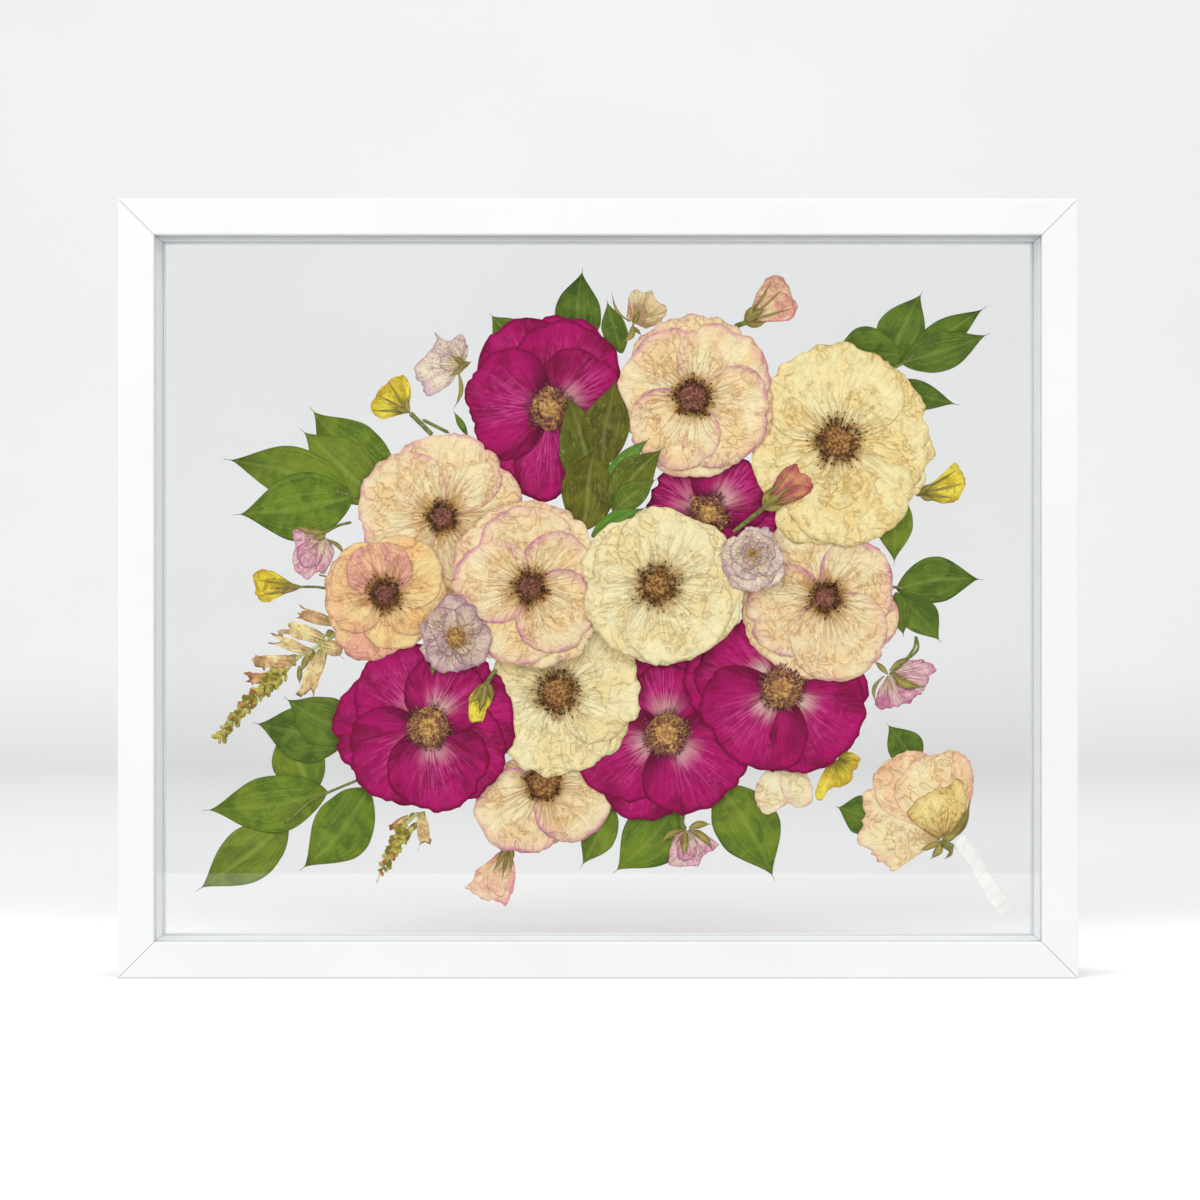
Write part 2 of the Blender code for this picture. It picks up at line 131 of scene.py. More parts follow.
def own_noise(seed: int, row: int, kind: int) -> float:
    """The number from 0 to 10 that picks a sheet's own pattern in its finish."""
    return 10 * float(lattice(np.array([seed]), np.array([row]), kind)[0])


def crumple(across: Grid, up: Grid) -> Grid:
    """Height in mm of the soft crumple that everything pressed together shares."""
    return 0.22 * ripple(across / 11, up / 11, 5, 2) + 0.08 * ripple(across / 4.5, up / 4.5, 9)


# ---------------------------------------------------------------- meshes made of grids


class Stack:
    """Thin sheets and rods gathered into one mesh, with values kept at every point for the finishes."""

    VALUES = ("edge", "out", "tint", "pink", "pale", "seed")

    def __init__(self) -> None:
        """An empty stack."""
        self.points: list[Grid] = []
        self.faces: list[Grid] = []
        self.slots: list[Grid] = []
        self.maps: list[Grid] = []
        self.values: dict[str, list[Grid]] = {name: [] for name in self.VALUES}
        self.count = 0

    def _keep(self, points: Grid, faces: Grid, surface_map: Grid, slot: int,
              values: dict[str, Grid]) -> None:
        """Adds points, faces and their values.

        Args:
            points: One row of x, y and z a point, in mm.
            faces: Four point numbers a face.
            surface_map: Two map coordinates a point.
            slot: The finish, by its place among the piece's materials.
            values: Attribute values, a number or one number a point.
        """
        self.points.append(points)
        self.faces.append(faces + self.count)
        self.slots.append(np.full(len(faces), slot))
        self.maps.append(surface_map)
        for name in self.VALUES:
            self.values[name].append(np.broadcast_to(np.asarray(values.get(name, 0.0)), (len(points),)))
        self.count += len(points)

    def sheet(self, grid: Grid, surface_map: Grid, slot: int = 0, thickness: float = 0.05,
              **values: Grid) -> None:
        """A closed sheet of even thickness from a grid of points on its front.

        Args:
            grid: Rows by columns by (x, y, z), in mm.
            surface_map: Rows by columns by two map coordinates.
            slot: The finish.
            thickness: Of the sheet, in mm.
            values: Attribute values for each point, or one for all.
        """
        rows, columns = grid.shape[:2]
        index = np.arange(rows * columns).reshape(rows, columns)
        front = np.stack([index[:-1, :-1], index[:-1, 1:], index[1:, 1:], index[1:, :-1]], -1).reshape(-1, 4)
        loop = np.concatenate([index[0, :-1], index[:-1, -1], index[-1, :0:-1], index[:0:-1, 0]])
        after = np.roll(loop, -1)
        back = front[:, ::-1] + rows * columns
        rim = np.stack([loop, loop + rows * columns, after + rows * columns, after], -1)
        flat = grid.reshape(-1, 3)
        behind = flat + np.array([0.0, thickness, 0.0])
        across = grid[0, -1] - grid[0, 0]
        along = grid[-1, columns // 2] - grid[0, columns // 2]
        faces = np.concatenate([front, back, rim])
        if across[0] * along[2] - across[2] * along[0] < 0:
            faces = faces[:, ::-1]
        twice = {name: np.tile(np.broadcast_to(value, (rows, columns)).ravel(), 2) for name,
                 value in values.items()}
        doubled_map = np.tile(surface_map.reshape(-1, 2), (2, 1))
        self._keep(np.concatenate([flat, behind]), faces, doubled_map, slot, twice)

    def rod(self, route: list[Point], halves: list[float], depth: float, slot: int = 0,
            **values: float) -> None:
        """A closed round rod, a little flattened, along a smooth line through the route's points.

        Args:
            route: Points in mm.
            halves: Half the width at each point, in mm.
            depth: The rod's middle, as y in mm.
            slot: The finish.
            values: Attribute values.
        """
        line, half = smooth_line(route, halves, 7)
        half[0], half[-1] = 0.02, 0.02
        ahead = np.gradient(line, axis=0)
        ahead /= np.linalg.norm(ahead, axis=1)[:, None]
        side = np.stack([-ahead[:, 1], ahead[:, 0]], -1)
        around = np.linspace(0, 2 * math.pi, 8, endpoint=False)
        flat = line[:, None] + side[:, None] * (np.cos(around)[None, :, None] * half[:, None, None])
        y = depth - np.sin(around)[None] * half[:, None] * 0.55
        points = np.stack([flat[..., 0], y, flat[..., 1]], -1)
        rows, columns = points.shape[:2]
        index = np.arange(rows * columns).reshape(rows, columns)
        beside = np.roll(index, -1, axis=1)
        faces = np.stack([index[:-1], index[1:], beside[1:], beside[:-1]], -1).reshape(-1, 4)
        length = np.concatenate([[0.0], np.cumsum(np.linalg.norm(np.diff(line, axis=0), axis=1))])
        surface_map = np.stack(np.broadcast_arrays(around[None] * half[:, None], length[:, None]), -1)
        spread = {"edge": 3.0, **values}
        self._keep(points.reshape(-1, 3), np.concatenate([faces, self._cap(index[0]),
            self._cap(index[-1][::-1])]),
                   surface_map.reshape(-1, 2), slot, spread)

    @staticmethod
    def _cap(ring: Grid) -> Grid:
        """Three quads that close a ring of eight points."""
        return np.array([[ring[0], ring[1], ring[2], ring[3]], [ring[0], ring[3], ring[4], ring[7]],
                         [ring[4], ring[5], ring[6], ring[7]]])

    def piece(self, name: str, materials: list[bpy.types.Material]) -> bpy.types.Object:
        """The gathered mesh as an object in metres, in the row frame.

        Args:
            name: The piece's name.
            materials: Its finishes, in the order of the slots.

        Returns:
            The new object, riding on the frame.
        """
        points = np.concatenate(self.points) * MM + np.array([0.0, 0.0, MIDDLE_Z])
        faces = np.concatenate(self.faces)
        mesh = bpy.data.meshes.new(name)
        mesh.from_pydata(points.tolist(), [], faces.tolist())
        for material in materials:
            mesh.materials.append(material)
        mesh.polygons.foreach_set("material_index", np.concatenate(self.slots).astype(np.int32))
        mesh.polygons.foreach_set("use_smooth", np.ones(len(faces), bool))
        for attribute, parts in self.values.items():
            layer = mesh.attributes.new(attribute, "FLOAT", "POINT")
            layer.data.foreach_set("value", np.concatenate(parts).astype(np.float32))
        flat_map = np.concatenate(self.maps)[faces.ravel()]
        mesh.uv_layers.new(name="surface_map").data.foreach_set("uv", flat_map.astype(np.float32).ravel())
        mesh.update()
        return place(bpy.data.objects.new(name, mesh))


def place(piece: bpy.types.Object) -> bpy.types.Object:
    """Puts a finished piece in the scene, riding on the one body."""
    bpy.context.scene.collection.objects.link(piece)
    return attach(piece, ROOT)


def smooth_line(route: list[Point], widths: list[float], steps: int) -> tuple[Grid, Grid]:
    """A smooth curve through points, with a width that changes along it.

    Args:
        route: Points in mm.
        widths: A width at each point.
        steps: Points of the curve for each stretch.

    Returns:
        The curve's points and its widths.
    """
    knots = np.array([route[0], *route, route[-1]], float)
    size = np.array([widths[0], *widths, widths[-1]], float)
    points, breadths = [], []
    for k in range(len(route) - 1):
        for t in np.linspace(0, 1, steps, endpoint=False):
            share = (-t**3 + 2 * t**2 - t, 3 * t**3 - 5 * t**2 + 2, -3 * t**3 + 4 * t**2 + t, t**3 - t**2)
            points.append(sum(w * p for w, p in zip(share, knots[k : k + 4])) / 2)
            breadths.append(size[k + 1] * (1 - t) + size[k + 2] * t)
    points.append(knots[-1])
    breadths.append(size[-1])
    return np.array(points), np.array(breadths)


def cad_middle(node: str) -> float:
    """The depth of a CAD node's middle, as y in mm."""
    low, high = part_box(node)
    return (low.y + high.y) / 2 / MM


MIDDLE_Z = (CAD_BOUNDS[0].z + CAD_BOUNDS[1].z) / 2


# ---------------------------------------------------------------- petals and leaves


@dataclass(frozen=True)
class Petal:
    """One petal that spreads from a bloom's centre: sizes in mm, direction in degrees from the right."""

    direction: float
    reach: float
    breadth: float
    pink: float = 0.0
    pale: float = 0.0
    tint: float = 0.0
    fullness: float = 0.6
    ragged: float = 1.0

    def reach_at(self, turn: Grid, seed: int) -> Grid:
        """How far the petal reaches at an angle from its own direction.

        Args:
            turn: Angles in radians.
            seed: Which wavy edge it has.

        Returns:
            Reaches in mm.
        """
        ahead = np.maximum(np.cos(turn), 1e-3)
        across = self.reach / self.breadth * np.sin(turn)
        plain = self.reach * (ahead / (ahead**2 + across**2)) ** self.fullness
        still = np.zeros_like(turn)
        wave = 0.034 * ripple(turn * 2.2, still + seed, seed) + 0.020 * ripple(turn * 7, still + seed,
            seed + 1)
        frill = 0.016 * ripple(turn * 17, still + seed, seed + 2)
        nick = 0.17 * np.maximum(ripple(turn * 6, still + 2 * seed, seed + 6) - 0.62, 0)
        return plain * (1 + self.ragged * (wave + frill - nick))

    def add_to(self, stack: Stack, centre: Point, depth: float, seed: int, slot: int = 0,
               columns: int = 66, rows: int = 14) -> None:
        """Builds the petal as a crumpled sheet.

        Args:
            stack: Where it goes.
            centre: The bloom's centre, in mm.
            depth: The sheet's y in mm.
            seed: Its own pattern.
            slot: Its finish.
            columns: Points across.
            rows: Points from base to edge.
        """
        widest = math.radians(86)
        bunched = np.linspace(-1, 1, columns)
        turn = widest * (0.75 * bunched + 0.25 * np.sin(bunched * math.pi / 2))
        rim = self.reach_at(turn, seed)
        slant = np.cos(np.arctan(np.gradient(rim, turn) / rim))
        out = np.linspace(0, 1, rows) ** 0.85
        share = 0.07 + 0.93 * out
        radius = share[:, None] * rim[None]
        facing = turn[None] + math.radians(self.direction)
        x = centre[0] + radius * np.cos(facing)
        z = centre[1] + radius * np.sin(facing)
        edge = (1 - share)[:, None] * rim[None] * slant[None]
        pleats = ripple(turn[None] * 5.5 + 0 * radius, radius / 26, seed + 3) * np.minimum(radius / 12, 1)
        folds = 0.16 * ripple(facing * 4.2, radius / 30, 41, 2) * np.exp(-radius / 26)
        height = crumple(x, z) + folds + 0.03 * pleats
        grid = np.stack([x, depth - height, z], -1)
        surface_map = np.stack([turn[None] + 0 * radius, radius / 10], -1)
        stack.sheet(grid, surface_map, slot, edge=edge, out=radius, tint=self.tint, pink=self.pink,
                    pale=self.pale, seed=own_noise(seed, 3, 77))


@dataclass(frozen=True)
class Leaf:
    """One pointed leaf: tip, base and width in mm, how far its middle bows to the left, and its tone."""

    tip: Point
    base: Point
    width: float
    bow: float = 0.0
    tint: float = 0.0

    def add_to(self, stack: Stack, depth: float, seed: int, slot: int = 0, columns: int = 15,
               rows: int = 34) -> None:
        """Builds the leaf as a thin sheet with a sunk midrib.

        Args:
            stack: Where it goes.
            depth: The sheet's y in mm.
            seed: Its own pattern.
            slot: Its finish.
            columns: Points across.
            rows: Points from base to tip.
        """
        base, tip = np.array(self.base, float), np.array(self.tip, float)
        length = float(np.linalg.norm(tip - base))
        ahead = (tip - base) / length
        side = np.array([-ahead[1], ahead[0]])
        along = np.linspace(0, 1, rows)
        blade = np.clip(along / 0.955, 0, 1)
        still = np.zeros(rows)
        half = self.width / 2 * 1.03 * np.sin(math.pi * blade**0.86) ** (0.82 + 0.62 * blade**2)
        half = np.maximum(half, 0.45 * (1 - along) + 0.12)
        across = np.linspace(-1, 1, columns)
        edge_wave = 1 + 0.035 * ripple(along[:, None] * 7, across[None] * 0.8 + seed,
                                       seed) * np.abs(across[None])
        middle = self.bow * np.sin(math.pi * along) + 0.01 * length * ripple(along * 3, still + seed,
            seed + 4)
        offset = middle[:, None] + half[:, None] * across[None] * edge_wave
        spot = base[None, None] + ahead * (along[:, None, None] * length) + side * offset[..., None]
        x, z = spot[..., 0], spot[..., 1]
        wide = half[:, None] * (1 - np.abs(across[None]))
        ribs = 0.03 * np.cos(across[None] * 16) * np.minimum(half[:, None] / 8, 1)
        wave = 0.12 * ripple(along[:, None] * 5, across[None] * 1.5 + seed, seed + 5)
        height = crumple(x, z) + ribs + wave * 0.4 - 0.09 * np.exp(-((half[:,
            None] * across[None]) / 1.1) ** 2)
        grid = np.stack([x, depth - height, z], -1)
        surface_map = np.stack(np.broadcast_arrays(self.width / 2 * across[None], along[:, None] * length),
                               -1)
        stack.sheet(grid, surface_map, slot, edge=wide, out=along[:, None] + 0 * wide, tint=self.tint,
                    pale=np.exp(-((half[:, None] * across[None]) / 0.5) ** 2), seed=own_noise(seed, 5, 78))


@dataclass(frozen=True)
class Sector:
    """One petal seen from the side: it spreads from a base point out to an outline, all in mm."""

    outline: list[Point]
    pink: float = 0.0
    tint: float = 0.0
    pale: float = 0.0
    slot: int = 0
    ragged: float = 1.5
    base: Point | None = None

    def add_to(self, stack: Stack, base: Point, depth: float, seed: int, columns: int = 56,
               rows: int = 16) -> None:
        """Builds the petal as a sheet with ribs that spread from its base.

        Args:
            stack: Where it goes.
            base: Where the flower's petals are attached, in mm, unless this one has its own base.
            depth: The sheet's y in mm.
            seed: Its own pattern.
            columns: Points across.
            rows: Points from base to edge.
        """
        base = self.base or base
        fine, _ = smooth_line(self.outline, [1.0] * len(self.outline), 12)
        length = np.concatenate([[0.0], np.cumsum(np.linalg.norm(np.diff(fine, axis=0), axis=1))])
        wanted = np.linspace(0, length[-1], columns)
        rim = np.stack([np.interp(wanted, length, fine[:, k]) for k in (0, 1)], -1)
        arm = rim - np.array(base)
        reach = np.linalg.norm(arm, axis=1)
        still = np.zeros(columns) + seed
        frill = 0.6 * ripple(wanted / 4.5, still, seed) + 0.42 * ripple(wanted / 1.7, still, seed + 1)
        arm = arm * (1 + self.ragged * frill / np.maximum(reach, 5.0))[:, None]
        share = 0.05 + 0.95 * np.linspace(0, 1, rows) ** 0.85
        spot = np.array(base) + share[:, None, None] * arm[None]
        x, z = spot[..., 0], spot[..., 1]
        radius = share[:, None] * reach[None]
        facing = np.arctan2(arm[:, 1], arm[:, 0])
        facing = np.unwrap(facing)[None] + 0 * radius
        pleats = ripple(facing * 6, radius / 22, seed + 3) * np.minimum(radius / 8, 1)
        height = crumple(x, z) + 0.045 * pleats
        grid = np.stack([x, depth - height, z], -1)
        along = np.gradient(rim, axis=0)
        along /= np.maximum(np.linalg.norm(along, axis=1), 1e-6)[:, None]
        square = np.abs(arm[:, 0] * along[:, 1] - arm[:, 1] * along[:, 0]) / np.maximum(reach, 1e-6)
        edge = (1 - share)[:, None] * reach[None] * np.maximum(square, 0.15)[None]
        surface_map = np.stack([facing, radius / 10], -1)
        stack.sheet(grid, surface_map, self.slot, edge=edge, out=radius, tint=self.tint, pink=self.pink,
                    pale=self.pale, seed=own_noise(seed, 3, 79))


@dataclass(frozen=True)
class Tube:
    """A dried tube floret, flared and ragged at its mouth. Sizes are in mm."""

    mouth: Point
    base: Point
    width: float
    tint: float = 0.0

    def add_to(self, stack: Stack, depth: float, seed: int, slot: int = 0, columns: int = 17,
               rows: int = 22) -> None:
        """Builds the floret as a crumpled, slightly domed sheet.

        Args:
            stack: Where it goes.
            depth: The sheet's y in mm.
            seed: Its own pattern.
            slot: Its finish.
            columns: Points across.
            rows: Points from base to mouth.
        """
        base, mouth = np.array(self.base, float), np.array(self.mouth, float)
        length = float(np.linalg.norm(mouth - base))
        ahead = (mouth - base) / length
        side = np.array([-ahead[1], ahead[0]])
        along, across = np.linspace(0, 1, rows)[:, None], np.linspace(-1, 1, columns)[None]
        still = np.zeros_like(across)
        lip = 1 + 0.24 * ripple(across * 2.6, still + seed, seed, 2)
        travel = along * (1 + (lip - 1) * along**3) * length
        swell = 0.64 + 0.44 * np.sin(np.clip(along * 1.8, 0, 1) * math.pi / 2) + 0.26 * np.clip(along - 0.86,
            0, 1) / 0.14
        swell = swell - 0.10 * np.exp(-(((along - 0.84) / 0.07) ** 2))
        wobble = 1 + 0.14 * ripple(along * 5 + 0 * across, np.sign(across) + 0 * along + seed, seed + 2)
        offset = self.width / 2 * swell * across * wobble + 0.04 * length * np.sin(along * 2.4 + seed)
        spot = base + ahead * travel[..., None] + side * offset[..., None]
        x, z = spot[..., 0], spot[..., 1]
        dome = 0.7 * np.sqrt(np.maximum(1 - across**2, 0)) * np.minimum(self.width / 6, 1) + 0 * along
        height = crumple(x, z) + dome + 0.12 * ripple(across * 4 + 0 * along, along * 3, seed + 4)
        grid = np.stack([x, depth - height, z], -1)
        surface_map = np.stack(np.broadcast_arrays(0.25 * across * self.width / 4, travel / 10), -1)
        from_mouth = (1 - along) * length + 0 * across
        stack.sheet(grid, surface_map, slot, edge=from_mouth, out=travel, tint=self.tint, pink=1.0,
                    seed=own_noise(seed, 3, 80))


# ---------------------------------------------------------------- finishes


class NodeTree:
    """A node tree that is filled a node at a time."""

    tree: bpy.types.NodeTree

    def node(self, kind: str, **settings: object) -> bpy.types.Node:
        """A new node of this kind with these properties."""
        made = self.tree.nodes.new(kind)
        for key, value in settings.items():
            setattr(made, key, value)
        return made

    def feed(self, into: Socket, value: object) -> None:
        """Links a socket, or sets a plain number, colour or vector."""
        if isinstance(value, bpy.types.NodeSocket):
            self.tree.links.new(value, into)
        elif isinstance(value, tuple) and into.type == "RGBA":
            into.default_value = (*value, 1.0)
        else:
            into.default_value = value

    def sum(self, operation: str, first: object, second: object = 0.0) -> Socket:
        """One Math node on two numbers or sockets."""
        made = self.node("ShaderNodeMath", operation=operation)
        self.feed(made.inputs[0], first)
        self.feed(made.inputs[1], second)
        return made.outputs["Value"]

    def times(self, *factors: object) -> Socket:
        """The product of several numbers or sockets."""
        product = factors[0]
        for factor in factors[1:]:
            product = self.sum("MULTIPLY", product, factor)
        return product


class Recipe(NodeTree):
    """A material's node tree, built from its own Principled shader."""

    def __init__(self, name: str, roughness: float = 0.5, metallic: float = 0.0,
                 specular: float = 0.5) -> None:
        """A new material.

        Args:
            name: The finish's name.
            roughness: Of the whole surface.
            metallic: One for bare metal.
            specular: How strongly it mirrors head on.
        """
        self.material = bpy.data.materials.new(name)
        self.material.use_nodes = True
        self.tree = self.material.node_tree
        self.shader = self.tree.nodes["Principled BSDF"]
        self.output = self.tree.nodes["Material Output"]
        self.shader.inputs["Roughness"].default_value = roughness
        self.shader.inputs["Metallic"].default_value = metallic
        self.shader.inputs["Specular IOR Level"].default_value = specular

    def value(self, name: str) -> Socket:
        """A number kept on the mesh."""
        return self.node("ShaderNodeAttribute", attribute_name=name).outputs["Fac"]

    def place(self, scale: tuple[float, float, float] = (1, 1, 1), turn: float = 0.0) -> Socket:
        """Object coordinates, stretched and turned about Y."""
        return self._mapped(self.node("ShaderNodeTexCoord").outputs["Object"], scale, (0, turn, 0))

    def surface(self, scale: tuple[float, float, float] = (1, 1, 1)) -> Socket:
        """The piece's own surface map, stretched."""
        return self._mapped(self.node("ShaderNodeUVMap", uv_map="surface_map").outputs["UV"], scale,
                            (0, 0, 0))

    def aside(self) -> Socket:
        """How far to either side of its middle line a point of the surface map lies."""
        split = self.node("ShaderNodeSeparateXYZ")
        self.feed(split.inputs[0], self.surface())
        return self.sum("ABSOLUTE", split.outputs[0], 0.0)

    def _mapped(self, source: Socket, scale: tuple[float, float, float],
                turn: tuple[float, float, float]) -> Socket:
        """Coordinates through a Mapping node."""
        mapping = self.node("ShaderNodeMapping")
        self.feed(mapping.inputs["Vector"], source)
        mapping.inputs["Scale"].default_value = scale
        mapping.inputs["Rotation"].default_value = turn
        return mapping.outputs["Vector"]

    def noise(self, vector: Socket, scale: float, detail: float = 2.0, distortion: float = 0.0,
              seed: Socket | float = 0.0, roughness: float = 0.5) -> Socket:
        """Soft noise, different for each value of its seed.

        Args:
            vector: Coordinates.
            scale: Lumps to a unit.
            detail: Finer layers.
            distortion: How far it is swirled.
            seed: A number that picks the pattern.
            roughness: Weight of the finer layers.

        Returns:
            Values about one half.
        """
        made = self.node("ShaderNodeTexNoise", noise_dimensions="4D")
        self.feed(made.inputs["Vector"], vector)
        self.feed(made.inputs["W"], seed)
        made.inputs["Scale"].default_value = scale
        made.inputs["Detail"].default_value = detail
        made.inputs["Distortion"].default_value = distortion
        made.inputs["Roughness"].default_value = roughness
        return made.outputs["Fac"]

    def ramp(self, value: Socket, low: float, high: float, start: float = 0.0, end: float = 1.0) -> Socket:
        """A smooth step from start at low to end at high."""
        made = self.node("ShaderNodeMapRange", interpolation_type="SMOOTHSTEP")
        for name, number in (("Value", value), ("From Min", low), ("From Max", high), ("To Min", start),
                             ("To Max", end)):
            self.feed(made.inputs[name], number)
        return made.outputs["Result"]

    def line(self, value: Socket, width: float) -> Socket:
        """One where noise crosses its middle, falling to nothing within a width: a thin wandering line."""
        return self.ramp(self.sum("ABSOLUTE", self.sum("SUBTRACT", value, 0.5), 0.0), 0.0, width, 1.0, 0.0)

    def mix(self, factor: object, first: object, second: object) -> Socket:
        """Two colours mixed."""
        made = self.node("ShaderNodeMix", data_type="RGBA")
        self.feed(made.inputs["Factor"], factor)
        self.feed(made.inputs[6], first)
        self.feed(made.inputs[7], second)
        return made.outputs[2]

    def colour(self, colour: object) -> None:
        """Sets the surface's colour."""
        self.feed(self.shader.inputs["Base Color"], colour)

    def relief(self, height: Socket, strength: float, distance: float) -> None:
        """Adds fine relief to the surface's light.

        Args:
            height: The relief, from 0 to 1.
            strength: Share of it that shows.
            distance: Its height in metres.
        """
        bump = self.node("ShaderNodeBump")
        bump.inputs["Strength"].default_value = strength
        bump.inputs["Distance"].default_value = distance
        self.feed(bump.inputs["Height"], height)
        self.feed(self.shader.inputs["Normal"], bump.outputs["Normal"])

    def glow(self, colour: Socket, share: float) -> None:
        """Lets some light through a thin sheet.

        Args:
            colour: Of the light that comes through.
            share: How much of the surface's light it is.
        """
        thin = self.node("ShaderNodeBsdfTranslucent")
        self.feed(thin.inputs["Color"], colour)
        blend = self.node("ShaderNodeMixShader")
        blend.inputs[0].default_value = share
        self.feed(blend.inputs[1], self.shader.outputs["BSDF"])
        self.feed(blend.inputs[2], thin.outputs["BSDF"])
        self.feed(self.output.inputs["Surface"], blend.outputs["Shader"])


@dataclass(frozen=True)
class CrinkledPetal:
    """A dried, paper-like petal: mottled, creased towards its base and coloured along its edge; its tan
    crease lines and thin tan rim are partly stain and partly painted shade.
    """

    name: str
    light: Colour
    deep: Colour
    rim: Colour
    crease: Colour
    heart: Colour
    accent: Colour
    scale: float = 1.0
    heart_reach: float = 20.0
    creases: float = 1.0
    rim_reach: float = 3.4

    def build(self) -> bpy.types.Material:
        """The material."""
        make = Recipe(self.name, roughness=0.75, specular=0.15)
        seed, out, edge = make.value("seed"), make.value("out"), make.value("edge")
        here = make.place()
        patches = make.noise(here, 70 * self.scale, 3, 0.3, seed)
        wrinkle = make.noise(here, 150 * self.scale, 5, 1.3, seed, 0.66)
        rays = make.noise(make.surface((7.5, 0.42, 1)), 1.0, 4, 0.35, seed)
        fine_rays = make.noise(make.surface((19, 0.8, 1)), 1.0, 3, 0.5, seed)
        near = make.ramp(out, 0.25 * self.heart_reach, 2.1 * self.heart_reach, 1.0, 0.18)
        fold_lines = make.times(make.line(rays, 0.035), near)
        crumple_noise = make.noise(here, 80 * self.scale, 5, 1.7, seed, 0.55)
        crumple_lines = make.times(make.line(crumple_noise, 0.030), make.ramp(patches, 0.38, 0.56, 0.2, 1.0))
        colour = make.mix(make.ramp(patches, 0.34, 0.66), self.light, self.deep)
        # Tan on the wrinkles, and below along fold and crumple lines: partly the petal's own crease stain,
        # partly painted shade in the creases.
        colour = make.mix(make.times(make.ramp(wrinkle, 0.52, 0.76), 0.36), colour, self.crease)
        tinted = make.sum("ADD", make.times(patches, 0.65), make.times(fine_rays, 0.35))
        colour = make.mix(make.times(make.value("tint"), make.ramp(tinted, 0.39, 0.57, 0.06, 1.0)), colour,
                          self.accent)
        halo = make.ramp(out, 0.3 * self.heart_reach, self.heart_reach, 1.0, 0.0)
        stain = make.times(halo, make.ramp(make.sum("ADD", make.times(rays, 0.5),
            make.times(fine_rays, 0.5)), 0.38, 0.60, 0.25, 1.0))
        colour = make.mix(stain, colour, self.heart)
        colour = make.mix(make.times(fold_lines, 0.70 * self.creases), colour, self.crease)
        colour = make.mix(make.times(crumple_lines, 0.46 * self.creases), colour, self.crease)
        wander = make.noise(here, 60, 2, 0.0, seed)
        frayed = make.ramp(wander, 0.42, 0.58, 0.08, 1.0)
        blush = make.times(make.value("pink"), make.ramp(edge, 0.0, self.rim_reach, 1.0, 0.0), frayed)
        haze = make.times(make.value("pink"), make.ramp(edge, 0.0, 3.2 * self.rim_reach, 0.38, 0.0),
                          make.ramp(patches, 0.4, 0.6, 0.3, 1.0))
        colour = make.mix(haze, colour, self.rim)
        colour = make.mix(blush, colour, self.rim)
        # A thin tan line along the very edge: partly the petal's browned rim, partly painted shade where it
        # lies on the petal beneath.
        tan = make.times(make.ramp(edge, 0.0, 0.9, 0.60, 0.0), make.ramp(wrinkle, 0.35, 0.6, 0.25, 1.0))
        colour = make.mix(tan, colour, self.crease)
        make.colour(colour)
        height = make.sum("ADD", make.times(wrinkle, 0.85), make.times(rays, 0.55))
        height = make.sum("ADD", height, make.times(crumple_noise, 0.9))
        height = make.sum("ADD", height, make.times(fine_rays, near, 0.35))
        height = make.sum("SUBTRACT", height, make.times(fold_lines, 0.22))
        height = make.sum("SUBTRACT", height, make.times(crumple_lines, 0.16))
        make.relief(height, 1.0, 0.0026 / self.scale)
        make.glow(colour, 0.04)
        return make.material


@dataclass(frozen=True)
class VelvetPetal:
    """A deep red-violet petal with pale veins that fan out from its base, a painted sheen and painted shade
    on its ripples, and painted shadow along its flanks.
    """

    name: str
    dark: Colour
    body: Colour
    vein: Colour
    base: Colour
    shadow: Colour

    def build(self) -> bpy.types.Material:
        """The material."""
        make = Recipe(self.name, roughness=0.5, specular=0.10)
        seed, out, edge, pale = make.value("seed"), make.value("out"), make.value("edge"), make.value("pale")
        here = make.place()
        patches = make.noise(here, 55, 3, 0.4, seed)
        veins = make.noise(make.surface((30, 0.75, 1)), 1.0, 3, 0.7, seed, 0.6)
        broad = make.noise(make.surface((4, 0.5, 1)), 1.0, 3, 0.5, seed)
        ripples = make.noise(here, 120, 5, 1.4, seed, 0.6)
        aside = make.aside()
        middle = make.ramp(aside, 0.10, 0.95, 1.0, 0.0)
        shade = make.sum("ADD", make.times(patches, 0.6), make.times(broad, 0.4))
        colour = make.mix(make.ramp(shade, 0.38, 0.58), self.dark, self.body)
        belly = make.times(middle, make.ramp(edge, 2.0, 12.0), make.ramp(broad, 0.34, 0.60, 0.45, 1.0))
        colour = make.mix(make.times(belly, 0.75), colour, self.body)
        # Painted sheen: lighter colour on the ripple crests.
        sheen = make.times(make.ramp(ripples, 0.50, 0.68), make.ramp(edge, 1.0, 8.0), middle, 0.22)
        colour = make.mix(sheen, colour, self.vein)
        # Painted shade: darker colour in the ripple troughs.
        colour = make.mix(make.times(make.ramp(ripples, 0.46, 0.32), 0.35), colour, self.dark)
        inner = make.ramp(out, 14, 47, 1.0, 0.10)
        fan = make.times(make.ramp(veins, 0.46, 0.62), inner, make.ramp(aside, 0.16, 0.80, 1.0, 0.22), 0.86)
        colour = make.mix(fan, colour, self.vein)
        mask = make.sum("ADD", make.times(broad, 0.5), make.times(veins, 0.5))
        near_base = make.times(make.ramp(out, 11, 26, 1.0, 0.0), make.ramp(aside, 0.15, 0.75, 1.0, 0.0))
        patch = make.times(pale, near_base, make.ramp(mask, 0.36, 0.54))
        colour = make.mix(patch, colour, self.base)
        # Painted shadow along the petal's flanks, where it lies under its neighbours.
        painted_flank_shadow = make.times(make.ramp(aside, 0.75, 1.35), make.ramp(out, 44, 8, 0.35, 0.85))
        colour = make.mix(painted_flank_shadow, colour, self.shadow)
        colour = make.mix(make.ramp(edge, 0.4, 2.6, 0.70, 0.0), colour, self.dark)
        make.colour(colour)
        height = make.sum("ADD", make.times(veins, 0.40), make.times(ripples, 1.0))
        make.relief(make.sum("ADD", height, make.times(broad, 0.8)), 0.9, 0.0022)
        make.glow(colour, 0.03)
        return make.material


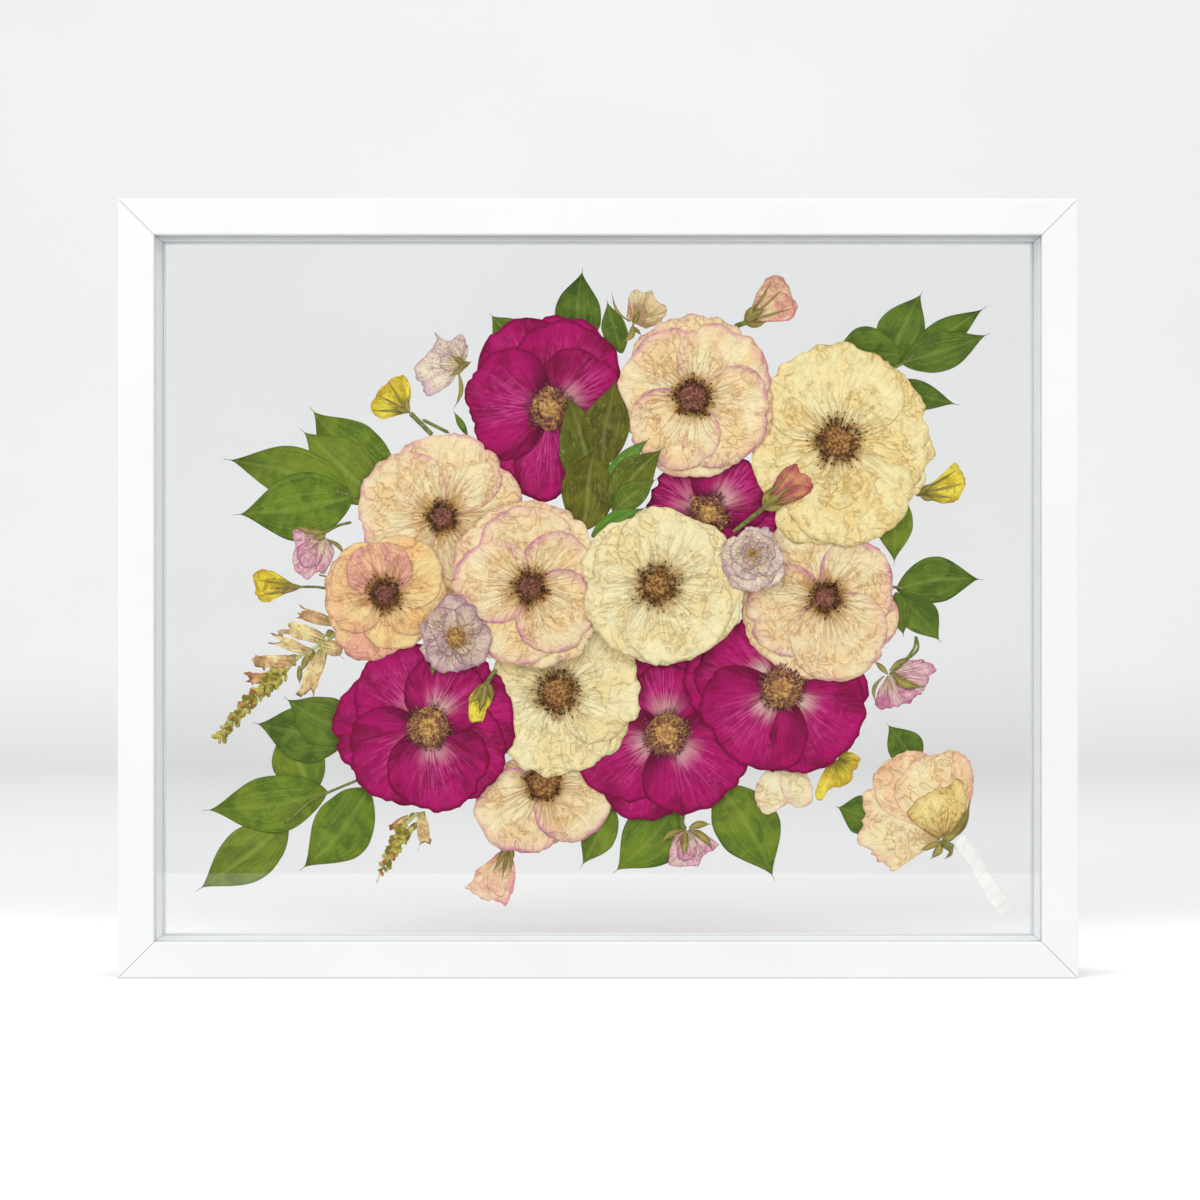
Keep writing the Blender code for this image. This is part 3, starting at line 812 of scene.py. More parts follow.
@dataclass(frozen=True)
class PressedLeaf:
    """A satin leaf with fine veins along its length and painted satin highlights in flecks."""

    name: str
    body: Colour
    dark: Colour
    bright: Colour
    accent: Colour
    sheen: float = 0.42
    painted_sheen: float = 0.40

    def build(self) -> bpy.types.Material:
        """The material."""
        make = Recipe(self.name, roughness=self.sheen, specular=0.22)
        seed = make.value("seed")
        here = make.place()
        ribs = make.noise(make.surface((0.95, 0.016, 1)), 1.0, 3, 0.12, seed)
        mottle = make.noise(here, 90, 4, 0.9, seed)
        flecks = make.noise(make.surface((0.9, 0.28, 1)), 1.0, 4, 0.9, seed, 0.65)
        colour = make.mix(make.ramp(mottle, 0.34, 0.66), self.dark, self.body)
        colour = make.mix(make.times(make.value("tint"), 0.85), colour, self.accent)
        colour = make.mix(make.times(make.ramp(ribs, 0.52, 0.68), 0.22), colour, self.bright)
        colour = make.mix(make.times(make.ramp(ribs, 0.46, 0.34), 0.28), colour, self.dark)
        colour = make.mix(make.times(make.value("pale"), 0.30), colour, self.bright)
        # Painted highlight: bright flecks that stand for the satin sheen.
        colour = make.mix(make.times(make.ramp(flecks, 0.54, 0.72), self.painted_sheen), colour, self.bright)
        colour = make.mix(make.ramp(make.value("edge"), 0.0, 0.8, 0.5, 0.0), colour, self.dark)
        make.colour(colour)
        height = make.sum("ADD", make.times(ribs, 0.55), make.times(flecks, 0.6))
        make.relief(make.sum("ADD", height, make.times(mottle, 1.0)), 0.9, 0.0016)
        make.glow(colour, 0.03)
        return make.material


@dataclass(frozen=True)
class Grainy:
    """A matt dried surface in two tones: flower hearts, stamens, stems and calyces."""

    name: str
    dark: Colour
    body: Colour
    scale: float = 900.0
    roughness: float = 0.8

    def build(self) -> bpy.types.Material:
        """The material."""
        make = Recipe(self.name, roughness=self.roughness, specular=0.2)
        grain = make.noise(make.place(), self.scale, 3, 0.4)
        make.colour(make.mix(make.ramp(grain, 0.38, 0.64), self.dark, self.body))
        make.relief(grain, 0.6, 0.0005)
        return make.material


@dataclass(frozen=True)
class Satin:
    """Thin white satin ribbon, with painted shade where one turn laps the next."""

    name: str
    light: Colour
    lap_shade: Colour

    def build(self) -> bpy.types.Material:
        """The material."""
        make = Recipe(self.name, roughness=0.34, specular=0.5)
        weave = make.noise(make.surface((140, 3, 1)), 1.0, 2)
        # Painted shade in a band where each turn laps the next.
        lap_shade_mask = make.ramp(make.value("pale"), 0.0, 0.14, 1.0, 0.0)
        make.colour(make.mix(make.times(lap_shade_mask, 0.7), self.light, self.lap_shade))
        make.relief(weave, 0.25, 0.0001)
        return make.material


def made(kind: type, name: str, *given: Colour | float, **settings: float) -> bpy.types.Material:
    """A finish of a kind.

    Args:
        kind: The finish's class.
        name: Its name.
        given: Its display colours from 0 to 255, then its other numbers in order.
        settings: Numbers by name.

    Returns:
        The material.
    """
    painted = (paint(*value) if isinstance(value, tuple) else value for value in given)
    return kind(name, *painted, **settings).build()


class Finishes:
    """Every finish, built once."""

    def __init__(self) -> None:
        """Builds all materials."""
        tan, gold = (224, 166, 84), (204, 144, 42)
        pink = (228, 146, 184)
        self.cream = made(CrinkledPetal, "dried_cream", (255, 242, 184), (253, 226, 156), pink, tan, gold,
            pink)
        self.pale = made(CrinkledPetal, "dried_pale_cream", (255, 245, 196), (254, 232, 170), pink,
            (216, 186, 134), gold, pink, creases=0.8)
        self.blush = made(CrinkledPetal, "dried_blush", (255, 239, 192), (255, 222, 164), pink,
            (230, 160, 94), gold, (238, 186, 176))
        self.peach = made(CrinkledPetal, "dried_peach", (255, 226, 160), (255, 204, 136), (226, 150, 150),
            (212, 140, 88), (206, 150, 74), (244, 176, 162), heart_reach=16)
        self.pink = made(CrinkledPetal, "dried_pink", (246, 216, 208), (236, 184, 198), (204, 106, 156),
            (176, 104, 112), (238, 222, 168), (206, 104, 156), scale=1.5, heart_reach=14, creases=1.5)
        self.lavender = made(CrinkledPetal, "dried_lavender", (250, 236, 206), (236, 210, 198),
            (208, 166, 188), (160, 122, 106), (228, 196, 130), (246, 230, 180), scale=1.7, heart_reach=12,
            rim_reach=2.4)
        self.mauve = made(CrinkledPetal, "dried_mauve", (230, 206, 190), (206, 172, 176), (182, 134, 166),
            (150, 112, 98), (214, 180, 112), (244, 218, 160), scale=1.7, heart_reach=12, creases=1.4,
            rim_reach=2.4)
        self.yellow = made(CrinkledPetal, "dried_yellow", (255, 238, 92), (236, 216, 58), (200, 150, 44),
            (176, 156, 44), (112, 100, 20), (220, 160, 60), scale=1.7, heart_reach=12)
        self.rust = made(CrinkledPetal, "dried_rust", (230, 166, 110), (208, 124, 100), (188, 76, 96),
            (120, 60, 44), (58, 54, 24), (198, 92, 108), scale=1.7, heart_reach=15)
        self.magenta = made(VelvetPetal, "dried_magenta", (126, 0, 58), (177, 4, 100), (222, 90, 164),
            (248, 232, 206), (92, 0, 42))
        self.leaf = made(PressedLeaf, "pressed_leaf", (118, 142, 30), (80, 106, 18), (162, 184, 74),
            (132, 144, 46), 0.36, 0.55)
        self.deep_leaf = made(PressedLeaf, "pressed_leaf_deep", (101, 127, 28), (62, 88, 14),
            (146, 170, 72), (118, 136, 44), 0.36, 0.60)
        self.olive_leaf = made(PressedLeaf, "pressed_leaf_olive", (110, 108, 8), (74, 76, 3),
            (172, 172, 96), (84, 144, 40), 0.34, 0.85)
        self.sepal = made(PressedLeaf, "dried_sepal", (164, 150, 70), (112, 98, 40), (206, 194, 120),
            (150, 104, 60), 0.6)
        self.heart = made(Grainy, "dried_heart", (104, 58, 50), (164, 108, 88), 700)
        self.heart_gold = made(Grainy, "dried_heart_gold", (112, 72, 36), (190, 142, 82), 600)
        self.heart_tan = made(Grainy, "dried_heart_tan", (166, 116, 74), (222, 184, 106), 500)
        self.stamen = made(Grainy, "dried_stamen", (50, 28, 12), (122, 78, 34), 420)
        self.stamen_gold = made(Grainy, "dried_stamen_gold", (136, 88, 32), (198, 148, 66), 420)
        self.stamen_violet = made(Grainy, "dried_stamen_violet", (92, 32, 54), (158, 100, 88), 420)
        self.floret = made(CrinkledPetal, "dried_floret", (255, 242, 172), (246, 216, 158), (118, 70, 46),
            (178, 124, 82), (196, 196, 112), (204, 142, 92), scale=2.0, heart_reach=6, creases=1.5,
            rim_reach=2.6)
        self.bract = made(Grainy, "dried_bract", (120, 112, 36), (196, 184, 92), 300, 0.7)
        self.bract_brown = made(Grainy, "dried_bract_brown", (150, 92, 44), (212, 160, 92), 300, 0.7)
        self.pale_stem = made(Grainy, "dried_pale_stem", (168, 172, 108), (200, 202, 142), 500, 0.65)
        self.loose = made(CrinkledPetal, "dried_loose", (255, 248, 206), (252, 236, 184), pink, tan,
            (250, 234, 190), pink, scale=1.2, heart_reach=4)
        self.rose = made(CrinkledPetal, "dried_rose", (255, 240, 192), (255, 228, 172), (246, 184, 166),
            (224, 172, 110), (232, 190, 112), (250, 190, 146), scale=1.1, heart_reach=10, creases=1.1)
        self.honey = made(CrinkledPetal, "dried_honey", (253, 232, 158), (246, 212, 126), (186, 134, 66),
            (176, 126, 62), (206, 156, 70), (250, 190, 146), scale=1.3, heart_reach=12, creases=1.3,
            rim_reach=2.0)
        self.ruffle = made(CrinkledPetal, "dried_ruffle", (252, 232, 184), (246, 206, 154), (236, 140, 150),
            (204, 140, 100), (150, 136, 60), (240, 170, 150), scale=1.7, heart_reach=12)
        self.satin = Satin("white_satin", (0.90, 0.895, 0.86), (0.70, 0.69, 0.60)).build()
        self.stem = made(Grainy, "dried_stem", (96, 104, 44), (136, 138, 74), 500, 0.6)


# ---------------------------------------------------------------- Geometry Nodes


class NodeTool(NodeTree):
    """A Geometry Nodes tree with named inputs, from which plain meshes are made."""

    NAME = "tool"
    INPUTS: tuple[tuple[str, str], ...] = ()

    def __init__(self) -> None:
        """Makes the tree and its inputs, then lets the tool fill it."""
        self.tree = bpy.data.node_groups.new(self.NAME, "GeometryNodeTree")
        for name, kind in (*self.INPUTS, ("Seed", "Int"), ("Finish", "Material")):
            self.tree.interface.new_socket(name, in_out="INPUT", socket_type="NodeSocket" + kind)
        self.tree.interface.new_socket("Geometry", in_out="OUTPUT", socket_type="NodeSocketGeometry")
        self.given = self.tree.nodes.new("NodeGroupInput").outputs
        real = self.node("GeometryNodeRealizeInstances")
        self.feed(real.inputs[0], self._scatter())
        dressed = self.node("GeometryNodeSetMaterial")
        self.feed(dressed.inputs["Geometry"], real.outputs[0])
        self.feed(dressed.inputs["Material"], self.given["Finish"])
        self.feed(self.node("NodeGroupOutput").inputs[0], dressed.outputs[0])

    def _scatter(self) -> Socket:
        """The instances, which each tool lays out in its own way."""
        raise NotImplementedError

    def _vector_maths(self, operation: str, first: object, second: object) -> Socket:
        """One Vector Math node."""
        made = self.node("ShaderNodeVectorMath", operation=operation)
        self.feed(made.inputs[0], first)
        self.feed(made.inputs[1], second)
        return made.outputs[0]

    def _vector(self, x: object, y: object, z: object) -> Socket:
        """A vector from three numbers."""
        made = self.node("ShaderNodeCombineXYZ")
        for into, value in zip(made.inputs, (x, y, z)):
            self.feed(into, value)
        return made.outputs[0]

    def _random(self, low: object, high: object, step: int) -> Socket:
        """A random number for each instance, from its own stream."""
        made = self.node("FunctionNodeRandomValue", data_type="FLOAT")
        self.feed(made.inputs[2], low)
        self.feed(made.inputs[3], high)
        self.feed(made.inputs["Seed"], self.sum("ADD", self.given["Seed"], 100.0 * step))
        return made.outputs[1]

    def _spread(self, points: Socket, shape: Socket, aim: Socket, scale: Socket) -> Socket:
        """Copies of a shape on points, each turned so that its Z follows a vector."""
        turn = self.node("FunctionNodeAlignRotationToVector", axis="Z")
        self.feed(turn.inputs["Vector"], aim)
        spread = self.node("GeometryNodeInstanceOnPoints")
        for name, source in (("Points", points), ("Instance", shape), ("Rotation", turn.outputs[0]),
                             ("Scale", scale)):
            self.feed(spread.inputs[name], source)
        return spread.outputs[0]

    def piece(self, name: str, **given: object) -> bpy.types.Object:
        """One plain mesh that rides on the frame.

        Args:
            name: The piece's name.
            given: The tree's inputs by name.

        Returns:
            The new object.
        """
        start = bpy.data.objects.new(name, bpy.data.meshes.new(name))
        bpy.context.scene.collection.objects.link(start)
        modifier = start.modifiers.new("grains", "NODES")
        modifier.node_group = self.tree
        for item in self.tree.interface.items_tree:
            if item.in_out == "INPUT":
                modifier[item.identifier] = given[item.name]
        graph = bpy.context.evaluated_depsgraph_get()
        mesh = bpy.data.meshes.new_from_object(start.evaluated_get(graph))
        start.modifiers.remove(modifier)
        start.data = mesh
        mesh.name = name
        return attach(start, ROOT)


class GrainRing(NodeTool):
    """Small grains or threads scattered in a ring and pointed outwards."""

    NAME = "grain_ring"
    INPUTS = (
        ("Centre", "Vector"), ("Count", "Int"), ("Inner", "Float"), ("Outer", "Float"), ("Width", "Float"),
        ("Length", "Float"), ("Lift", "Float"), ("Lean", "Float"),
    )

    def _scatter(self) -> Socket:
        """Grains at random angles and reaches."""
        given = self.given
        angle = self._random(0.0, 2 * math.pi, 0)
        reach = self._random(given["Inner"], given["Outer"], 1)
        lobes = self.sum("SINE", self.sum("ADD", self.times(angle, 5.0), given["Seed"]))
        reach = self.times(reach, self.sum("ADD", 1.0, self.times(lobes, 0.07)))
        cosine, sine = self.sum("COSINE", angle), self.sum("SINE", angle)
        lifted = self.times(given["Lift"], self._random(-1.0, 0.0, 2))
        spot = self._vector(self.times(cosine, reach), lifted,
                            self.times(sine, reach))
        points = self.node("GeometryNodePoints")
        self.feed(points.inputs["Count"], given["Count"])
        self.feed(points.inputs["Position"], self._vector_maths("ADD", spot, given["Centre"]))
        grain = self.node("GeometryNodeMeshIcoSphere")
        grain.inputs["Radius"].default_value = 1.0
        grain.inputs["Subdivisions"].default_value = 1
        turned = self.sum("ADD", angle, self._random(-0.6, 0.6, 3))
        lean = self.times(given["Lean"], self._random(-1.0, 0.3, 5))
        size = self._random(0.6, 1.35, 4)
        wide = self.times(given["Width"], size)
        scale = self._vector(wide, wide, self.times(given["Length"], size))
        aim = self._vector(self.sum("COSINE", turned), lean, self.sum("SINE", turned))
        return self._spread(points.outputs[0], grain.outputs[0], aim, scale)


class BractSpray(NodeTool):
    """Small dried bracts along a bent stem, pointing to its tip and to both sides."""

    NAME = "bract_spray"
    INPUTS = (
        ("Start", "Vector"), ("Bend", "Vector"), ("End", "Vector"), ("Count", "Int"), ("Length", "Float"),
        ("Width", "Float"), ("Fan", "Float"), ("Taper", "Float"),
    )

    def _scatter(self) -> Socket:
        """Bracts on both sides of a curve, smaller towards its end."""
        given = self.given
        stem = self.node("GeometryNodeCurveQuadraticBezier")
        stem.inputs["Resolution"].default_value = 24
        for name, source in (("Start", "Start"), ("Middle", "Bend"), ("End", "End")):
            self.feed(stem.inputs[name], given[source])
        spots = self.node("GeometryNodeCurveToPoints", mode="COUNT")
        self.feed(spots.inputs["Curve"], stem.outputs[0])
        self.feed(spots.inputs["Count"], given["Count"])
        index = self.node("GeometryNodeInputIndex").outputs[0]
        along = self.sum("DIVIDE", index, given["Count"])
        side = self.sum("SUBTRACT", self.times(self.sum("FLOORED_MODULO", index, 2.0),
            2.0), 1.0)
        fan = self.times(self.times(side, given["Fan"]),
                          self._random(0.45, 1.0, 1))
        parts = self.node("ShaderNodeSeparateXYZ")
        self.feed(parts.inputs[0], spots.outputs["Tangent"])
        ahead_x, ahead_z = parts.outputs[0], parts.outputs[2]
        aim_x = self.sum("SUBTRACT", ahead_x, self.times(ahead_z, fan))
        aim_z = self.sum("ADD", ahead_z, self.times(ahead_x, fan))
        aim = self._vector(aim_x, self._random(-0.22, 0.02, 2), aim_z)
        shape = self.node("GeometryNodeMeshIcoSphere")
        shape.inputs["Radius"].default_value = 1.0
        shape.inputs["Subdivisions"].default_value = 3
        moved = self.node("GeometryNodeTransform")
        self.feed(moved.inputs["Geometry"], shape.outputs[0])
        moved.inputs["Translation"].default_value = (0.0, 0.0, 0.9)
        lumps = self.node("ShaderNodeTexNoise")
        lumps.inputs["Scale"].default_value = 1.6
        crumpled = self.node("GeometryNodeSetPosition")
        self.feed(crumpled.inputs["Geometry"], moved.outputs[0])
        self.feed(crumpled.inputs["Offset"], self._vector_maths("SUBTRACT", lumps.outputs["Color"],
            (0.5, 0.5, 0.5)))
        size = self.times(self._random(0.65, 1.25, 3),
                           self.sum("SUBTRACT", 1.0, self.times(along, given["Taper"])))
        wide = self.times(given["Width"], size)
        scale = self._vector(wide, self.times(wide, 0.7),
                             self.times(given["Length"], size))
        return self._spread(spots.outputs[0], crumpled.outputs[0], aim, scale)


# ---------------------------------------------------------------- blooms


class Heart(Enum):
    """How the middle of a bloom looks."""

    RED = "reddish brown disc in a ragged ring"
    GOLD = "golden brown middle with near-black stamens"
    TAN = "tan cushion speckled with violet"


def grain_values(count: int, inner: float, outer: float, width: float, length: float, lift: float,
                 lean: float, finish: bpy.types.Material) -> dict[str, object]:
    """What a ring of grains is made of.

    Args:
        count: How many grains.
        inner: The ring's inner radius in metres.
        outer: Its outer radius in metres.
        width: Half a grain's width in mm.
        length: Half its length in mm.
        lift: How deep the grains are scattered, in mm.
        lean: How far they point out of the ring's plane.
        finish: Of the grains.

    Returns:
        The tree's inputs by name.
    """
    return {"Count": count, "Inner": inner, "Outer": outer, "Width": width * MM, "Length": length * MM,
            "Lift": lift * MM, "Lean": lean, "Finish": finish}


@dataclass
class Bloom:
    """One large bloom, its heart and its stamens. Petals are listed from the back to the front."""

    node: str
    slot: str
    centre: Point
    petals: list[Petal]
    heart: Heart
    heart_radius: float
    stamen_reach: float
    heart_shift: Point = (0.0, 0.0)
    heart_stretch: tuple[float, float, float] = (1.0, 1.0, 0.0)
    front: float = 0.0

    def build(self, finish: bpy.types.Material, finishes: Finishes, ring: GrainRing, seed: int) -> None:
        """Builds the petals, the heart and its stamens in place of the CAD node.

        Args:
            finish: Of the petals.
            finishes: The others.
            ring: The tree that scatters grains.
            seed: The bloom's own pattern.
        """
        depth = cad_middle(self.node)
        step = PETAL_STACK / max(len(self.petals) - 1, 1)
        stack = Stack()
        for order, petal in enumerate(self.petals):
            petal.add_to(stack, self.centre, depth + PETAL_STACK / 2 - order * step, seed + 7 * order)
        self.front = depth - 0.30
        petals = stack.piece(self.node + "_petals", [finish])
        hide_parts(self.node)
        self._build_heart(finishes, ring, seed)

    def _build_heart(self, finishes: Finishes, ring: GrainRing, seed: int) -> None:
        """The domed middle with its grains and threads.

        Args:
            finishes: The finishes.
            ring: The tree that scatters grains.
            seed: The bloom's own pattern.
        """
        if self.heart_radius <= 0:
            return
        middle = (self.centre[0] + self.heart_shift[0], self.centre[1] + self.heart_shift[1])
        cushion = Stack()
        around = np.linspace(0, 2 * math.pi, 33)
        share = np.linspace(0.02, 1, 10)
        wide, tall, turn = self.heart_stretch
        rough = 1 + 0.10 * ripple(around * 3, np.zeros(33) + seed, seed) * np.sin(around / 2)
        radius = share[:, None] * self.heart_radius * rough[None]
        local_x, local_z = radius * np.cos(around) * wide, radius * np.sin(around) * tall
        angle = math.radians(turn)
        x = middle[0] + local_x * math.cos(angle) - local_z * math.sin(angle)
        z = middle[1] + local_x * math.sin(angle) + local_z * math.cos(angle)
        dome = 0.9 * (1 - share[:, None] ** 2.2) + 0.25 * ripple(x / 1.6, z / 1.6, seed, 2)
        grid = np.stack([x, self.front - crumple(x, z) - np.maximum(dome, 0.02), z], -1)
        surface_map = np.stack(np.broadcast_arrays(around[None], share[:, None]), -1)
        cushion.sheet(grid, surface_map, 0, edge=5.0)
        material = {Heart.RED: finishes.heart, Heart.GOLD: finishes.heart_gold,
                    Heart.TAN: finishes.heart_tan}[self.heart]
        cushion.piece(self.node + "_heart", [material])
        spot = Vector((middle[0] * MM, (self.front - 0.5) * MM, MIDDLE_Z + middle[1] * MM))
        size = self.heart_radius * MM * (wide + tall) / 2
        reach = max(self.stamen_reach * MM, size * 1.1)
        for name, ring_values in self._rings(finishes, material, size, reach).items():
            grains = ring.piece(f"{self.node}_{name}", Centre=spot, Seed=seed, **ring_values)

    def _rings(self, finishes: Finishes, material: bpy.types.Material, size: float,
               reach: float) -> dict[str, dict]:
        """Grains over the disc, then a dense ragged ring, speckles, loose threads or scattered anthers.

        Args:
            finishes: The finishes.
            material: The disc's own finish.
            size: The disc's radius in metres.
            reach: How far the stamens reach, in metres.

        Returns:
            The tree's inputs, by the name of each ring.
        """
        dark, gold, violet = finishes.stamen, finishes.stamen_gold, finishes.stamen_violet
        if self.heart is Heart.TAN:
            return {
                "grains": grain_values(330, 0.0, size * 0.98, 0.36, 0.60, 0.8, 1.0, material),
                "speckles": grain_values(330, size * 0.50, size * 1.10, 0.42, 0.60, 1.4, 1.0, violet),
                "fringe": grain_values(210, size * 0.90, reach * 1.08, 0.26, 1.0, 0.5, 0.5, violet),
            }
        ragged = size + (reach - size) * 0.62
        return {
            "grains": grain_values(170, 0.0, size * 0.95, 0.38, 0.50, 0.6, 1.0, material),
            "ring": grain_values(230, size * 0.86, ragged, 0.36, 0.85, 0.6, 0.6, dark),
            "threads": grain_values(110, size * 0.9, reach * 1.05, 0.17, 1.9, 0.4, 0.2, gold),
            "anthers": grain_values(70, size, reach * 1.18, 0.40, 0.55, 0.5, 0.8, dark),
        }


def blooms() -> list[Bloom]:
    """The large blooms of the bouquet."""
    return [Bloom("bloom_magenta_top", "petal_magenta", (-28, 103), [Petal(85, 55, 60), Petal(244, 53, 52),
            Petal(292, 50, 44), Petal(225, 48, 46), Petal(267, 54, 28), Petal(112, 53, 52, pale=0.5),
            Petal(65, 52, 52, pale=0.3), Petal(27, 43, 46, pale=0.4), Petal(172, 48, 57)], Heart.TAN, 11.5,
            13.5, heart_stretch=(0.85, 1.1, 0.0)),
        Bloom("bloom_blush_top", "petal_blush", (54, 109), [Petal(275, 46, 56, 0.3), Petal(0, 47, 60, 0.3),
            Petal(185, 41, 42, 0.7), Petal(90, 47, 62, 0.3), Petal(150, 43, 54, 0.7),
            Petal(38, 46, 52, 0.8), Petal(-32, 46, 56, 0.6), Petal(240, 43, 46, 0.9)], Heart.RED, 8.5,
            11.5),
        Bloom("bloom_cream_right", "petal_cream", (137, 84), [Petal(248, 60, 48), Petal(-25, 56, 56),
            Petal(50, 54, 60), Petal(155, 41, 48), Petal(212, 50, 52), Petal(15, 54, 70), Petal(95, 57, 74),
            Petal(284, 59, 66)], Heart.GOLD, 9.0, 15.0),
        Bloom("bloom_blush_left", "petal_blush", (-89, 41), [Petal(212, 47, 32, 0.3),
            Petal(268, 47, 50, 0.2), Petal(125, 47, 50, 0.4), Petal(-40, 44, 46, 0.2),
            Petal(30, 46, 60, 0.4), Petal(95, 48, 66, 0.6), Petal(165, 48, 60, 0.6)], Heart.RED, 6.5, 9.5),
        Bloom("bloom_peach", "petal_peach", (-122, -3), [Petal(140, 34, 34),
            Petal(208, 36, 34, 0.5, tint=0.6), Petal(244, 40, 40, 0.5, tint=0.8), Petal(300, 34, 38, 0.3),
            Petal(-8, 35, 38, 0.2), Petal(47, 36, 40, 0.2), Petal(178, 35, 42, 0.6, tint=0.2),
            Petal(102, 30, 34, 0.7, tint=0.9)], Heart.RED, 6.0, 10.5),
        Bloom("bloom_pink_edged", "petal_blush", (-39, 1), [Petal(95, 50, 62, 0.3), Petal(285, 47, 60, 0.2),
            Petal(50, 46, 44, 0.2), Petal(146, 48, 40, 0.5), Petal(230, 47, 46, 0.3),
            Petal(92, 46, 50, 0.8), Petal(255, 46, 44, 0.9), Petal(25, 41, 42, 1.0),
            Petal(-42, 44, 42, 1.0), Petal(172, 43, 40, 1.0)], Heart.RED, 6.5, 10.5),
        Bloom("bloom_cream_middle", "petal_cream", (35, 2), [Petal(147, 47, 42), Petal(265, 45, 50),
            Petal(45, 45, 48), Petal(180, 39, 42), Petal(-12, 50, 60), Petal(5, 48, 52), Petal(130, 42, 48),
            Petal(80, 44, 48), Petal(225, 45, 52), Petal(300, 46, 58)], Heart.GOLD, 8.0, 14.0, (-1.5, 0.0)),
        Bloom("bloom_blush_right", "petal_blush", (130, -5), [Petal(172, 49, 60, 0.5),
            Petal(228, 49, 70, 0.2), Petal(85, 36, 44, 0.2), Petal(-28, 44, 42, 0.5),
            Petal(128, 47, 44, 0.6), Petal(200, 47, 46, 1.0), Petal(22, 41, 46, 1.0),
            Petal(289, 49, 50, 0.5)], Heart.RED, 6.5, 10.5),
        Bloom("bloom_magenta_hidden", "petal_magenta", (63, 43), [Petal(270, 26, 40), Petal(186, 36, 34),
            Petal(-6, 42, 38), Petal(100, 30, 30), Petal(150, 35, 38, pale=0.3),
            Petal(45, 38, 44, pale=0.5)], Heart.TAN, 10.0, 12.5, heart_stretch=(1.25, 0.8, -40)),
        Bloom("bloom_magenta_left", "petal_magenta", (-97, -79), [Petal(42, 51, 48), Petal(88, 49, 40),
            Petal(178, 55, 50, pale=0.6), Petal(4, 50, 46), Petal(-38, 49, 50, pale=0.3),
            Petal(124, 51, 54, pale=0.3), Petal(227, 50, 56, pale=0.2), Petal(284, 49, 50, pale=0.5),
            Petal(62, 44, 40, pale=0.6)], Heart.TAN, 11.5, 13.0),
        Bloom("bloom_cream_low", "petal_cream", (-23, -59), [Petal(195, 30, 50), Petal(-45, 47, 52),
            Petal(50, 44, 46), Petal(90, 24, 52), Petal(150, 39, 40), Petal(262, 48, 62), Petal(5, 48, 58)],
            Heart.GOLD, 9.0, 14.5),
        Bloom("bloom_magenta_low", "petal_magenta", (39, -83), [Petal(50, 46, 46),
            Petal(117, 47, 38, pale=0.4), Petal(10, 40, 42, pale=1.0), Petal(92, 41, 34, pale=0.5),
            Petal(268, 46, 24, pale=0.4), Petal(245, 52, 44, pale=0.3), Petal(208, 54, 46, pale=0.6),
            Petal(-45, 50, 62, pale=0.5)], Heart.TAN, 12.0, 13.5),
        Bloom("bloom_magenta_right", "petal_magenta", (105, -57), [Petal(268, 49, 40, pale=0.3),
            Petal(170, 55, 54), Petal(60, 34, 40), Petal(0, 49, 44, pale=0.9), Petal(128, 44, 34),
            Petal(152, 50, 56, pale=1.0), Petal(-42, 52, 60, pale=0.8), Petal(227, 50, 63, pale=0.7)],
            Heart.TAN, 11.5, 13.0),
        Bloom("bloom_blush_low", "petal_blush", (-31, -111), [Petal(275, 36, 50, 0.3),
            Petal(195, 30, 30, 0.3), Petal(20, 26, 30, 0.3), Petal(120, 14, 30), Petal(229, 45, 44, 1.0),
            Petal(-32, 41, 42, 1.0)], Heart.GOLD, 9.0, 10.5)]


# ---------------------------------------------------------------- leaves, buds, spikes and roses


def dress(piece: bpy.types.Object, node: str) -> None:
    """Hides the CAD node, if there is one, in whose place a piece stands."""
    if node:
        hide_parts(node)


@dataclass
class Twig:
    """A thin stem: its route in mm, its width in mm and where it lies."""

    route: list[Point]
    width: float = 1.6
    slot: int = 0


@dataclass
class Spray:
    """Leaves on one stem. They are listed from the back to the front."""

    name: str
    node: str
    leaves: list[Leaf]
    stems: list[Twig] = field(default_factory=list)
    depth: float = 6.9
    tone: str = "leaf"

    def build(self, finishes: Finishes, seed: int) -> None:
        """Builds the leaves and stems in place of their CAD node.

        Args:
            finishes: The finishes.
            seed: The spray's own pattern.
        """
        depth = cad_middle(self.node) if self.node else self.depth
        step = 0.56 / max(len(self.leaves), 4)
        stack = Stack()
        for order, leaf in enumerate(self.leaves):
            leaf.add_to(stack, depth + 0.24 - order * step, seed + 5 * order)
        for order, stem in enumerate(self.stems):
            stem_half = [stem.width / 2] * len(stem.route)
            stack.rod(stem.route, stem_half, depth - 0.2 - 0.1 * order, 1, seed=order)
        tones = {"leaf": finishes.leaf, "deep": finishes.deep_leaf, "olive": finishes.olive_leaf}
        dress(stack.piece(self.name, [tones[self.tone], finishes.stem]), self.node)


